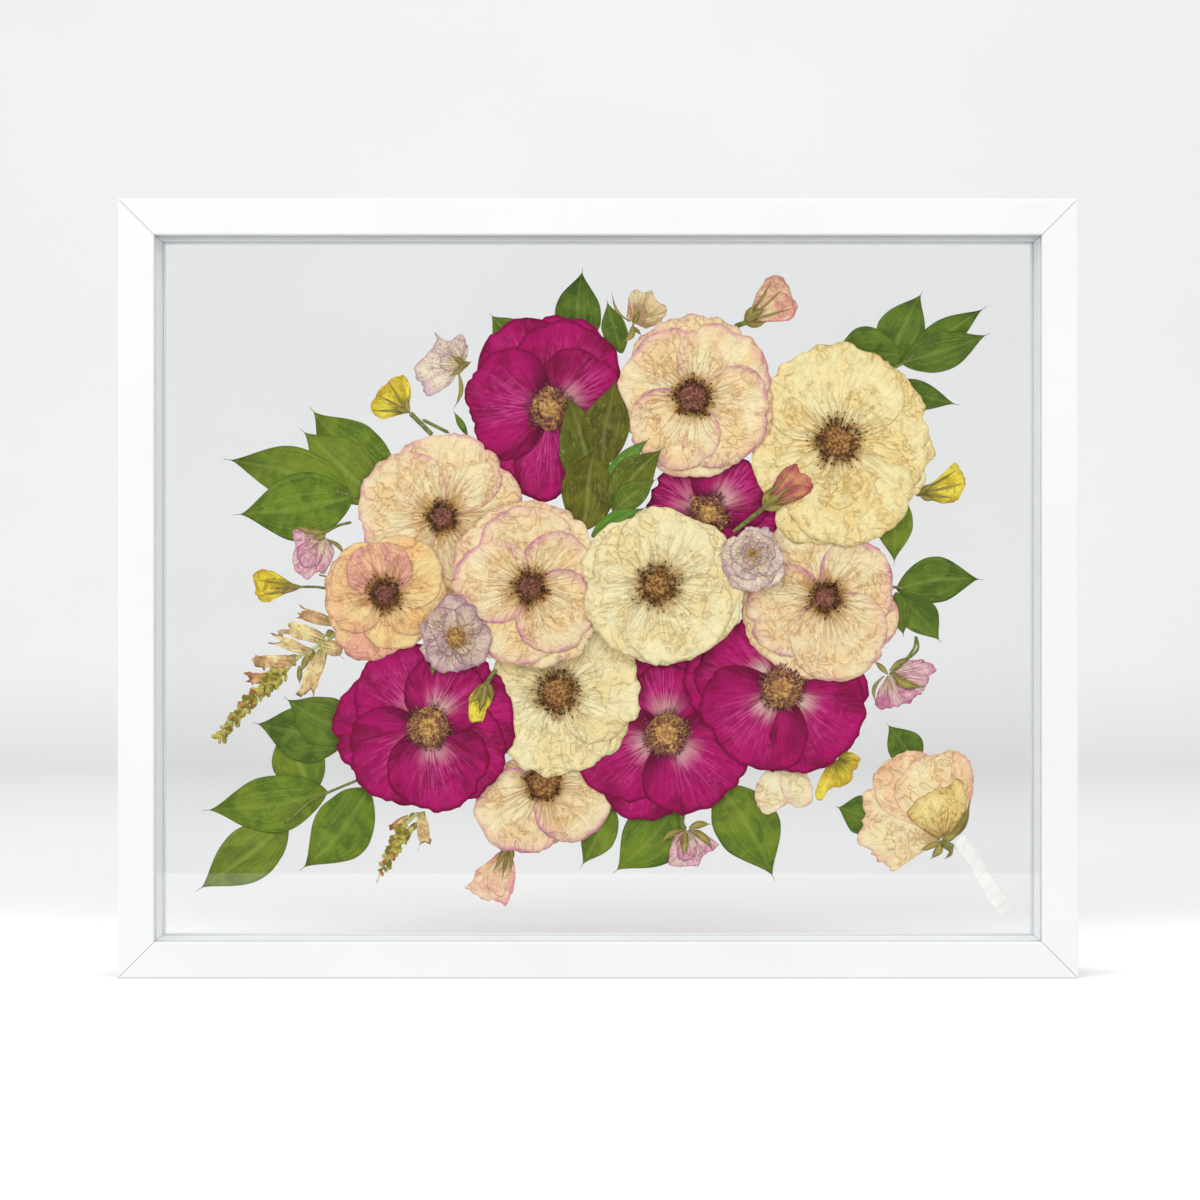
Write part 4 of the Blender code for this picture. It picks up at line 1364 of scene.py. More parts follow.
@dataclass
class SideBud:
    """A bud or flower pressed from the side. Petals and sepals are listed from the back to the front."""

    node: str
    slot: str
    base: Point
    tone: str
    petals: list[Sector]
    sepals: list[Leaf] = field(default_factory=list)
    stems: list[Twig] = field(default_factory=list)
    rays: list[Leaf] = field(default_factory=list)

    def build(self, finishes: Finishes, seed: int) -> None:
        """Builds the petals, the sepals and the stem in place of the CAD node.

        Args:
            finishes: The finishes.
            seed: The bud's own pattern.
        """
        depth = cad_middle(self.node)
        stack = Stack()
        layers = max(len(self.petals) + 2, 5)
        for order, petal in enumerate(self.petals):
            petal.add_to(stack, self.base, depth + 0.24 - order * 0.55 / layers, seed + 3 * order)
        for order, ray in enumerate(self.rays):
            ray.add_to(stack, depth - 0.22, seed + 40 + order, 1, 7, 16)
        for order, stem in enumerate(self.stems):
            stack.rod(stem.route, [stem.width / 2] * len(stem.route), depth - 0.22, 2, seed=order)
        for order, sepal in enumerate(self.sepals):
            sepal.add_to(stack, depth - 0.30 - 0.03 * order, seed + 60 + order, 1, 9, 18)
        materials = [getattr(finishes, self.tone), finishes.sepal, finishes.stem, finishes.honey,
                     finishes.yellow]
        dress(stack.piece(self.node + "_petals", materials), self.node)


@dataclass
class FlowerSpike:
    """A dried spike: a pale stem, tube florets low down and small bracts towards its tip."""

    node: str
    route: list[Point]
    widths: list[float]
    florets: list[Tube]
    bract_start: Point
    bract_bend: Point
    bract_end: Point
    bracts: int
    bract_length: float = 3.4
    bract_width: float = 1.5
    leaves: list[Leaf] = field(default_factory=list)

    def build(self, finishes: Finishes, tool: BractSpray, seed: int) -> None:
        """Builds the stem with its florets, and the bracts.

        Args:
            finishes: The finishes.
            tool: The tree that lays out bracts.
            seed: The spike's own pattern.
        """
        depth = cad_middle(self.node)
        stack = Stack()
        stack.rod(self.route, [width / 2 for width in self.widths], depth, 1)
        for order, floret in enumerate(self.florets):
            floret.add_to(stack, depth - 0.05 * order, seed + 9 * order)
        for order, leaf in enumerate(self.leaves):
            leaf.add_to(stack, depth - 0.35 - 0.02 * order, seed + 50 + order, 2, 9, 16)
        materials = [finishes.floret, finishes.pale_stem, finishes.sepal]
        dress(stack.piece(self.node + "_florets", materials), self.node)
        ends = [Vector((x * MM, (depth - 0.35) * MM, MIDDLE_Z + z * MM))
                for x, z in (self.bract_start, self.bract_bend, self.bract_end)]
        common = {"Start": ends[0], "Bend": ends[1], "End": ends[2], "Taper": 0.45, "Seed": seed}
        for name, count, finish, fan, share in (
            ("green", self.bracts, finishes.bract, 1.6, 1.0),
            ("brown", self.bracts // 3, finishes.bract_brown, 1.9, 0.9),
        ):
            spray = tool.piece(f"{self.node}_bracts_{name}", Count=count,
                               Length=self.bract_length / 2 * share * MM,
                               Width=self.bract_width / 2 * share * MM, Fan=fan, Finish=finish, **common)


@dataclass
class RuffledRose:
    """A small double rose: many short petals, each row shorter and nearer the front."""

    node: str
    centre: Point
    petals: list[Petal]
    eye: float = 0.0
    flecks: int = 0
    tone: str = "lavender"

    def build(self, finishes: Finishes, ring: GrainRing, seed: int) -> None:
        """Builds the petals and the eye in place of the CAD node.

        Args:
            finishes: The finishes.
            ring: The tree that scatters grains.
            seed: The rose's own pattern.
        """
        depth = cad_middle(self.node)
        stack = Stack()
        for order, petal in enumerate(self.petals):
            petal.add_to(stack, self.centre, depth + 0.2 - 0.075 * order, seed + 5 * order, columns=30,
                         rows=14)
        dress(stack.piece(self.node + "_petals", [getattr(finishes, self.tone)]), self.node)
        front = depth + 0.2 - 0.075 * len(self.petals)
        spot = Vector((self.centre[0] * MM, (front - 0.3) * MM, MIDDLE_Z + self.centre[1] * MM))
        eye, gold = self.eye * MM, finishes.stamen_gold
        rings = []
        if self.eye > 0:
            rings = [("eye", 0, grain_values(420, 0.0, eye, 0.36, 0.5, 0.7, 1.0, finishes.heart_tan)),
                     ("eye_rim", 1, grain_values(90, eye * 0.6, eye * 1.05, 0.3, 0.5, 0.6, 1.0, gold))]
        if self.flecks:
            rings.append(("flecks", 0, grain_values(self.flecks, 0.0004, 0.0028, 0.3, 0.7, 0.3, 0.6, gold)))
        for name, order, ring_values in rings:
            ring.piece(f"{self.node}_{name}", Centre=spot, Seed=seed + order, **ring_values)


def sprays() -> list[Spray]:
    """The leaves, sprig by sprig."""
    return [Spray("leaves_left", "sprig_left", [Leaf((-166, 104), (-118, 56), 37, 2, 0.1),
            Leaf((-171, 92), (-127, 49), 32, -1, 0.5), Leaf((-215, 74), (-143, 57), 29, -2, 0.2),
            Leaf((-209, 43), (-140, 52), 38, 2)], [Twig([(-150, 56), (-140, 53), (-112, 44)])]),
        Spray("leaves_upper_right", "sprig_upper_right", [Leaf((186, 171), (167, 127), 27, 2, 0.2),
            Leaf((129, 129), (174, 134), 33, -2, 0.1), Leaf((223, 162), (176, 129), 18, 1),
            Leaf((225, 146), (174, 129), 22, -1, 0.3)], [Twig([(180, 132), (160, 121)])], tone="deep"),
        Spray("leaf_upper_right_blade", "leaf_upper_right", [Leaf((207, 105), (160, 114), 17, 1, 0.2)],
            tone="deep"),
        Spray("leaves_right", "sprig_right", [Leaf((221, 5), (171, 0), 26, 3, 0.1),
            Leaf((197, -31), (173, -4), 20, 1, 0.2), Leaf((175, -28), (171, -2), 12, 0, 0.3)],
            [Twig([(177, 0), (160, 2)])], tone="deep"),
        Spray("leaves_middle_left", "sprig_middle_left", [Leaf((-198, -77), (-144, -87), 31, 1, 0.1),
            Leaf((-180, -62), (-138, -84), 28, 2, 0.4)], tone="deep"),
        Spray("leaves_lower_left", "sprig_lower_left", [Leaf((-180, -74), (-163, -117), 29, 2, 0.2),
            Leaf((-231, -173), (-178, -133), 31, 2, 0.3), Leaf((-227, -127), (-155, -117), 32, 2, 0.1),
            Leaf((-171, -162), (-131, -115), 34, 3)], [Twig([(-168, -124), (-155, -117), (-136, -109)]),
            Twig([(-180, -135), (-160, -118)])]),
        Spray("leaf_top_blade", "leaf_top", [Leaf((-9, 184), (-10, 138), 26, 2)], tone="deep"),
        Spray("leaves_cluster", "leaf_cluster", [Leaf((-19, 113), (-2, 52), 28, -2, 0.1),
            Leaf((11, 121), (3, 70), 26, 2), Leaf((30, 86), (4, 64), 9, 0, 1.0),
            Leaf((-1, 84), (-8, 33), 30, 1), Leaf((38, 81), (7, 46), 22, 2, 0.2),
            Leaf((34, 63), (8, 44), 15, 1, 0.4), Leaf((28, 47), (-4, 30), 13, 0, 1.0)], tone="olive"),
        Spray("leaves_bottom", "sprig_bottom", [Leaf((-10, -160), (8, -124), 20, 1, 0.1),
            Leaf((8, -163), (45, -122), 34, 3)], [Twig([(6, -126), (44, -124)])]),
        Spray("leaf_bottom_blade", "leaf_bottom", [Leaf((101, -168), (70, -112), 36, 2, 0.1)]),
        Spray("leaves_single_rose", "leaves_by_single_rose", [Leaf((165, -77), (182, -104), 20, -2, 0.1),
            Leaf((136, -125), (162, -131), 22, 1)], tone="deep"),
        Spray("leaf_small_top", "", [Leaf((-62, 158), (-40, 135), 20, 1, 0.2)], depth=7.0),
        Spray("leaf_dark_top", "", [Leaf((5, 166), (14, 135), 14, 1, 0.2)], depth=7.1, tone="deep"),
        Spray("leaf_behind_right", "", [Leaf((170, 13), (168, 58), 21, 1, 0.3)], depth=7.1),
        Spray("leaf_dark_sliver", "", [Leaf((-83, 102), (-75, 88), 4, 0)], [Twig([(-101, 97), (-85, 89)],
            2.0)], depth=5.9, tone="deep"),
        Spray("leaf_slivers", "", [Leaf((-135, 27), (-146, 17), 6, 0), Leaf((-44, -54), (-36, -42), 5, 0)],
            depth=5.2),
        Spray("stem_slivers", "", [Leaf((-95, -50), (-93, -40), 3.4, 0)], depth=0.6),
        Spray("stem_thin_right", "", [], [Twig([(182, -27), (181, -34), (176, -41)], 1.6)], depth=6.6)]


def side_buds() -> list[SideBud]:
    """The buds and loose petals."""
    yellow_top = SideBud("lisianthus_yellow_top", "petal_yellow", (-109, 101), "yellow",
        [Sector([(-114, 101), (-118, 100), (-123, 97), (-129, 100), (-130, 105), (-127, 111), (-122, 117),
            (-118, 122), (-113, 122), (-109, 119), (-107, 113), (-109, 107)], 0.5),
         Sector([(-113, 103), (-120, 105), (-125, 110), (-122, 116), (-117, 119), (-112, 117), (-110, 110)],
            0.7, 0.2)], [Leaf((-117, 104), (-108, 101), 3.4), Leaf((-109, 110), (-108, 101), 3.0, 1)],
        [Twig([(-108, 101), (-100, 93), (-95, 88)], 2.8)], [Leaf((-120, 118), (-111, 104), 1.2),
            Leaf((-129, 102), (-112, 102), 1.2), Leaf((-126, 111), (-111, 103), 1.0)])
    yellow_left = SideBud("lisianthus_yellow_left", "petal_yellow", (-172, 1), "yellow",
        [Sector([(-176, 3), (-181, 6), (-186, 10), (-192, 11), (-195, 10), (-197, 6), (-196, 1), (-197, -3),
            (-193, -7), (-189, -8), (-184, -5), (-178, -2)], 1.0),
         Sector([(-176, 2), (-182, 5), (-189, 6), (-192, 1), (-190, -3), (-182, -3)], 0.6, 0.3)],
        [Leaf((-183, 4), (-170, 1), 3.2, 1), Leaf((-182, -4), (-170, 1), 3.0, -1)], [Twig([(-171, 1),
            (-162, 1), (-155, 0)], 1.5)], [Leaf((-194, 5), (-175, 2), 1.2),
            Leaf((-193, -4), (-175, 0), 1.2), Leaf((-188, 0), (-174, 1), 1.4)])
    yellow_right = SideBud("lisianthus_yellow_right", "petal_yellow", (185, 54), "yellow",
        [Sector([(187, 58), (193, 62), (199, 67), (204, 72), (207, 70), (211, 63), (210, 56), (206, 51),
            (198, 49), (190, 51)], 0.7),
         Sector([(188, 57), (194, 61), (201, 64), (205, 59), (202, 53), (193, 52)], 0.6, 0.2)],
        [Leaf((193, 60), (184, 54), 3.2, 1), Leaf((194, 51), (184, 54), 3.0, -1)], [Twig([(186, 54),
            (182, 54)], 2.4)], [Leaf((205, 68), (188, 57), 1.2), Leaf((208, 60), (188, 55), 1.2),
            Leaf((203, 52), (189, 54), 1.2)])
    green = SideBud("lisianthus_green", "petal_yellow", (-64, -53), "yellow",
        [Sector([(-68, -55), (-73, -61), (-74, -67), (-73, -75), (-68, -77), (-64, -71), (-61, -63),
            (-62, -57)], 0.3),
         Sector([(-67, -57), (-70, -63), (-70, -71), (-67, -74), (-64, -67), (-63, -59)], 0.5)],
        [Leaf((-74, -66), (-65, -54), 4.2, 1), Leaf((-68, -72), (-64, -54), 4.6),
            Leaf((-61, -66), (-63, -53), 3.6, 1)], [Twig([(-58, -46), (-61, -50), (-64, -55)], 2.6)])
    peach_top = SideBud("lisianthus_peach_top", "petal_peach", (85, 153), "ruffle",
        [Sector([(94, 153), (103, 153), (110, 154), (113, 158), (115, 162), (111, 167), (109, 174),
            (104, 179), (97, 179), (95, 175), (91, 170), (89, 162), (86, 157)], 0.6, 0.5),
         Sector([(95, 154), (109, 154), (113, 159), (111, 165), (105, 170), (98, 167)], 0.8, 0.9)],
        [Leaf((96, 160), (84, 153), 6.0, 1), Leaf((97, 153), (84, 152), 4.0, -1),
            Leaf((90, 163), (84, 154), 4.0)], [Twig([(86, 153), (78, 150)], 3.0)],
        [Leaf((104, 170), (90, 157), 1.3), Leaf((110, 160), (91, 155), 1.4),
            Leaf((99, 175), (89, 159), 1.2)])
    peach_middle = SideBud("lisianthus_peach_middle", "petal_peach", (95, 47), "rust",
        [Sector([(101, 46), (107, 48), (115, 51), (120, 54), (123, 59), (122, 62), (119, 65), (116, 67),
            (113, 71), (108, 69), (104, 66), (101, 61), (98, 55)], 1.0, 0.7),
         Sector([(102, 47), (110, 49), (117, 53), (120, 57), (115, 59), (109, 58)], 0.8, 0.3)],
        [Leaf((106, 54), (94, 46), 5.4, 1), Leaf((107, 48), (94, 46), 4.0, -1),
            Leaf((101, 59), (94, 47), 4.0, 1)], [Twig([(97, 48), (87, 40), (77, 32)], 2.6)],
        [Leaf((113, 60), (99, 51), 1.3), Leaf((117, 53), (100, 48), 1.2), Leaf((108, 65), (98, 54), 1.2)])
    peach_bottom = SideBud("lisianthus_peach_bottom", "petal_peach", (-51, -149), "ruffle",
        [Sector([(-57, -151), (-65, -158), (-71, -162), (-72, -167), (-75, -171), (-69, -175), (-62, -179),
            (-53, -181), (-50, -175), (-47, -166), (-48, -157)], 0.9, 0.3, ragged=2.2),
         Sector([(-58, -153), (-63, -162), (-64, -171), (-59, -176), (-53, -174), (-51, -164)], 0.6, 0.2,
            ragged=2.4)], [Leaf((-58, -155), (-50, -147), 4.0), Leaf((-49, -157), (-50, -147), 3.4)], [],
        [Leaf((-60, -162), (-54, -151), 1.8), Leaf((-55, -166), (-52, -151), 2.0),
            Leaf((-50, -163), (-50, -151), 1.8)])
    lavender = SideBud("rosebud_lavender", "petal_lavender", (-78, 128), "lavender",
        [Sector([(-75, 133), (-75, 139), (-77, 145), (-81, 145), (-85, 141), (-89, 143), (-93, 146),
            (-92, 141), (-96, 136), (-91, 130)], 0.4),
         Sector([(-78, 134), (-82, 140), (-89, 143), (-93, 141), (-97, 135), (-102, 131), (-105, 126),
            (-103, 120), (-98, 118), (-90, 119), (-83, 123)], 0.5),
         Sector([(-82, 121), (-85, 117), (-91, 113), (-97, 110), (-99, 113), (-101, 118), (-94, 121),
            (-87, 125)], 0.7),
         Sector([(-78, 132), (-83, 135), (-89, 133), (-90, 128), (-87, 125), (-81, 125)], 1.0, 0.0)],
        [Leaf((-84, 134), (-76, 128), 3.2), Leaf((-72, 130), (-80, 125), 4.0, 1),
            Leaf((-83, 103), (-80, 124), 2.6, 3), Leaf((-85, 122), (-77, 126), 3.0)])
    cream = SideBud("rosebud_cream", "petal_cream", (21, 152), "pale",
        [Sector([(17, 155), (17, 162), (18, 167), (21, 171), (25, 170), (29, 170), (31, 171), (33, 167),
            (37, 163), (39, 160), (37, 155), (33, 151), (27, 149)], 0.3),
         Sector([(17, 154), (17, 159), (20, 164), (25, 163), (28, 158), (27, 151)], 0.4)],
        [Leaf((8, 170), (18, 153), 1.6, 3), Leaf((14, 141), (20, 151), 4.0, 2),
            Leaf((25, 145), (20, 150), 2.4), Leaf((24, 160), (20, 151), 2.6)])
    pink_left = SideBud("rosebud_pink_left", "petal_pink", (-157, 30), "pink",
        [Sector([(-161, 32), (-168, 34), (-175, 33), (-174, 25), (-175, 14), (-172, 9), (-166, 5),
            (-161, 10), (-157, 9), (-153, 15), (-151, 21), (-153, 27)], 0.3),
         Sector([(-162, 30), (-169, 27), (-173, 21), (-169, 13), (-161, 13), (-157, 20), (-156, 25)], 0.5,
            0.3)], [Leaf((-173, 36), (-157, 32), 4.0, 1), Leaf((-163, 28), (-156, 31), 4.0),
            Leaf((-145, 18), (-155, 28), 2.4, 2)], [Twig([(-158, 31), (-149, 36), (-141, 38)], 1.7),
            Twig([(-152, 16), (-151, 9), (-155, 7), (-160, 8)], 0.9)])
    pink_right = SideBud("rosebud_pink_right", "petal_pink", (166, -49), "pink",
        [Sector([(161, -57), (159, -67), (165, -69), (170, -67), (176, -66), (181, -63), (185, -59),
            (181, -54), (174, -51)], 0.5, 0.7, ragged=2.2),
         Sector([(172, -46), (178, -41), (187, -42), (194, -46), (193, -49), (186, -51), (177, -51)], 0.4,
            0.3, ragged=2.2),
         Sector([(173, -50), (175, -55), (181, -58), (186, -58), (190, -51), (181, -47)], 0.5, 0.2,
            ragged=2.0)], [Leaf((158, -41), (166, -49), 3.2), Leaf((160, -67), (164, -50), 2.4, -4),
            Leaf((180, -39), (167, -47), 3.0, 1), Leaf((188, -56), (168, -48), 5.0, -3)], [Twig([(182, -27),
            (183, -35), (174, -43), (167, -49)], 1.5)])
    pink_bottom = SideBud("rosebud_pink_bottom", "petal_pink", (51, -138), "pink",
        [Sector([(45, -138), (42, -145), (41, -152), (41, -158), (50, -159), (58, -158), (60, -153),
            (63, -149), (62, -142), (57, -138)], 0.4),
         Sector([(58, -138), (64, -142), (69, -146), (70, -147), (65, -151), (60, -150), (55, -144)], 0.6),
         Sector([(47, -140), (45, -147), (46, -155), (53, -156), (57, -150), (55, -142)], 0.5, 0.1)],
        [Leaf((36, -146), (49, -138), 4.0, -2), Leaf((49, -154), (50, -138), 4.6),
            Leaf((66, -150), (52, -138), 4.0, 2), Leaf((65, -135), (52, -137), 4.4, 1)], [Twig([(49, -127),
            (48, -134), (50, -138)], 2.8)])
    loose = SideBud("petals_cream_loose", "petal_cream", (108, -106), "loose",
        [Sector([(130, -103), (126, -111), (124, -120), (128, -121), (133, -114), (139, -113), (144, -110),
            (147, -105), (150, -98), (144, -93), (136, -92)], 0.6, 0.4, slot=4, base=(137, -97)),
         Sector([(95, -105), (91, -111), (90, -120), (93, -126), (97, -129), (104, -126), (109, -122),
            (108, -113), (107, -104)], 0.3, base=(102, -100)),
         Sector([(104, -104), (105, -114), (109, -123), (115, -125), (120, -124), (123, -119), (122, -111),
            (119, -104)], 0.3, base=(112, -100))])
    return [yellow_top, yellow_left, yellow_right, green, peach_top, peach_middle, peach_bottom, lavender,
        cream, pink_left, pink_right, pink_bottom, loose]


def single_rose() -> SideBud:
    """The rose at the lower right, seen from the side."""
    return SideBud("single_rose", "petal_peach", (198, -143), "rose",
        [Sector([(170, -134), (160, -128), (157, -118), (159, -107), (167, -98), (175, -93), (189, -94),
            (204, -93), (211, -97), (214, -104), (214, -113), (213, -121), (209, -131)], 0.3, ragged=2.0),
         Sector([(194, -149), (184, -152), (174, -159), (168, -162), (163, -157), (157, -155), (152, -147),
            (150, -137), (151, -124), (155, -114), (164, -111), (175, -118), (187, -131)], 0.8, 0.05,
            ragged=4.2),
         Sector([(191, -142), (181, -134), (173, -132), (164, -127), (159, -120), (158, -113), (159, -106),
            (168, -98), (177, -93), (187, -94), (195, -101), (204, -118)], 0.4, 0.6),
         Sector([(193, -139), (181, -131), (174, -127), (170, -119), (171, -110), (177, -103), (185, -97),
            (198, -94), (207, -97), (211, -104), (212, -115), (210, -128)], 0.4, 0.1),
         Sector([(209, -135), (213, -124), (215, -111), (214, -102), (211, -97), (206, -93), (203, -96),
            (205, -107), (204, -124)], 0.9, 0.6),
         Sector([(194, -143), (187, -139), (181, -134), (177, -128), (183, -121), (193, -115), (201, -113),
            (205, -109), (209, -111), (211, -119), (210, -128), (206, -137)], 0.7, 0.0, slot=3,
            ragged=1.6)], [Leaf((190, -155), (197, -145), 4.6, 1), Leaf((184, -150), (196, -145), 3.4),
            Leaf((213, -121), (199, -145), 5.0, -3), Leaf((207, -140), (197, -145), 5.4, 1),
            Leaf((198, -155), (203, -148), 2.2, 1)], [Twig([(197, -145), (203, -149)], 5.0)])


def spikes() -> list[FlowerSpike]:
    """The two dried flower spikes."""
    return [FlowerSpike("spike_left", [(-149, -25), (-159, -32), (-170, -38), (-179, -46), (-192, -55),
            (-204, -67), (-213, -77), (-217, -87)], [2.4, 2.2, 2.2, 2.0, 1.8, 1.6, 1.3, 1.0],
            [Tube((-171, -13), (-152, -19), 7.0, 0.5), Tube((-181, -22), (-157, -30), 8.6),
            Tube((-184, -28), (-164, -37), 6.4, 0.3), Tube((-196, -43), (-173, -41), 7.4, 0.6),
            Tube((-200, -51), (-184, -51), 6.0, 1.0), Tube((-167, -60), (-159, -35), 9.0, 0.2),
            Tube((-145, -35), (-159, -32), 8.0, 0.2)], (-178, -47), (-203, -66), (-217, -86), 36, 8.4, 4.4,
            [Leaf((-176, -31), (-168, -36), 3.6), Leaf((-181, -40), (-170, -39), 3.6),
            Leaf((-170, -48), (-166, -37), 4.0), Leaf((-164, -45), (-163, -35), 4.2),
            Leaf((-157, -27), (-151, -25), 5.0), Leaf((-161, -26), (-158, -31), 3.0),
            Leaf((-171, -55), (-171, -44), 3.2), Leaf((-186, -46), (-176, -45), 4.0)]),
        FlowerSpike("spike_low", [(-103, -128), (-113, -138), (-118, -147), (-122, -155), (-127, -169)],
            [2.4, 1.8, 1.6, 1.2, 0.8], [Tube((-98, -147), (-102, -128), 6.8, 0.4),
            Tube((-118, -137), (-108, -131), 4.6, 0.9), Tube((-112, -146), (-107, -136), 4.2, 1.0)],
            (-110, -136), (-118, -150), (-124, -162), 20, 7.0, 3.8, [Leaf((-109, -131), (-104, -129), 3.0),
            Leaf((-103, -133), (-108, -139), 3.6), Leaf((-122, -152), (-114, -149), 2.6)])]


def ruffled_roses() -> list[RuffledRose]:
    """The two small lavender roses, from the outer petals to the inner ones."""
    low = [Petal(direction, 22.0, 21.0, pink=0.9, tint=0.2, fullness=0.5, ragged=1.8) for direction in (236,
            304, 270)]
    swirl = [Petal(62 + 137 * k,
        (18.6 - 1.0 * k) * (1 - 0.12 * math.sin(math.radians(62 + 137 * k))), 20.0 - 0.9 * k,
        pink=0.6, tint=0.5 if k % 2 else 0.0, fullness=0.42, ragged=2.4) for k in range(16)]
    return [RuffledRose("rosette_lavender", (88, 20), low + swirl, flecks=26),
        RuffledRose("rose_lavender_small", (-81, -28), [Petal(165, 21, 18, 0.9, ragged=2.4),
            Petal(12, 20, 16, 0.9, ragged=2.6), Petal(98, 24, 22, 0.8, ragged=2.0),
            Petal(200, 21, 24, 0.8, ragged=2.2), Petal(300, 19, 22, 0.8, ragged=2.0),
            Petal(255, 21, 24, 0.8, ragged=1.8), Petal(-22, 21, 22, 0.8, tint=0.3, ragged=2.2),
            Petal(125, 20, 16, 0.7, tint=0.4, ragged=2.2), Petal(60, 20, 18, 0.8, tint=0.4, ragged=2.0),
            Petal(205, 12, 14, 0.5, ragged=2.0), Petal(95, 15, 11, 0.8, tint=0.6, ragged=2.2),
            Petal(-35, 12, 10, 0.3, tint=0.8, ragged=2.4), Petal(20, 11, 9, 0.5, tint=0.8, ragged=2.0)],
            eye=5.6, tone="mauve")]


@dataclass
class Ribbon:
    """Thin white satin wrapped round a stem, laid flat: two edges in mm, from top to bottom."""

    node: str = "ribbon_wrapped_stem"
    left_edge: list[Point] = field(default_factory=lambda: [(203, -147), (212, -158), (219, -170),
        (225, -180), (230, -187)])
    right_edge: list[Point] = field(default_factory=lambda: [(209, -140), (219, -154), (227, -167),
        (235, -177), (240, -185)])
    flat: tuple[float, float] = (0.0104, 0.0545)
    turns: int = 7

    def build(self, finish: bpy.types.Material) -> None:
        """Builds the ribbon round its stem in place of the CAD node.

        Args:
            finish: Of the satin.
        """
        depth = cad_middle(self.node)
        rows, columns = 90, 22
        edges = [smooth_line(edge, [1.0] * len(edge), 24)[0] for edge in (self.left_edge, self.right_edge)]
        across = np.linspace(0, 1, columns)[None, :, None]
        picked = [edge[np.linspace(0, len(edge) - 1, rows).astype(int)][:, None] for edge in edges]
        spot = picked[0] * (1 - across) + picked[1] * across
        along = np.linspace(0, 1, rows)[:, None] + 0 * across[..., 0]
        ramp = (along * self.turns + 0.5 * across[..., 0]) % 1.0
        wraps = 0.16 * ramp - 0.10 * np.exp(-((ramp - 0.03) / 0.05) ** 2)
        dome = 0.55 * np.sqrt(np.clip(1 - (2 * across[..., 0] - 1) ** 2, 0, 1))
        height = dome + wraps + 0.05 * ripple(along * 14, across[..., 0] * 2, 8, 2)
        grid = np.stack([spot[..., 0], depth + 0.1 - height, spot[..., 1]], -1)
        stack = Stack()
        surface_map = np.stack(np.broadcast_arrays(across[..., 0], along * 5), -1)
        stack.sheet(grid, surface_map, 0, edge=1.0, out=along * 10, pale=ramp)
        ribbon = stack.piece("ribbon_satin", [finish])
        dress(ribbon, self.node)


# ---------------------------------------------------------------- studio


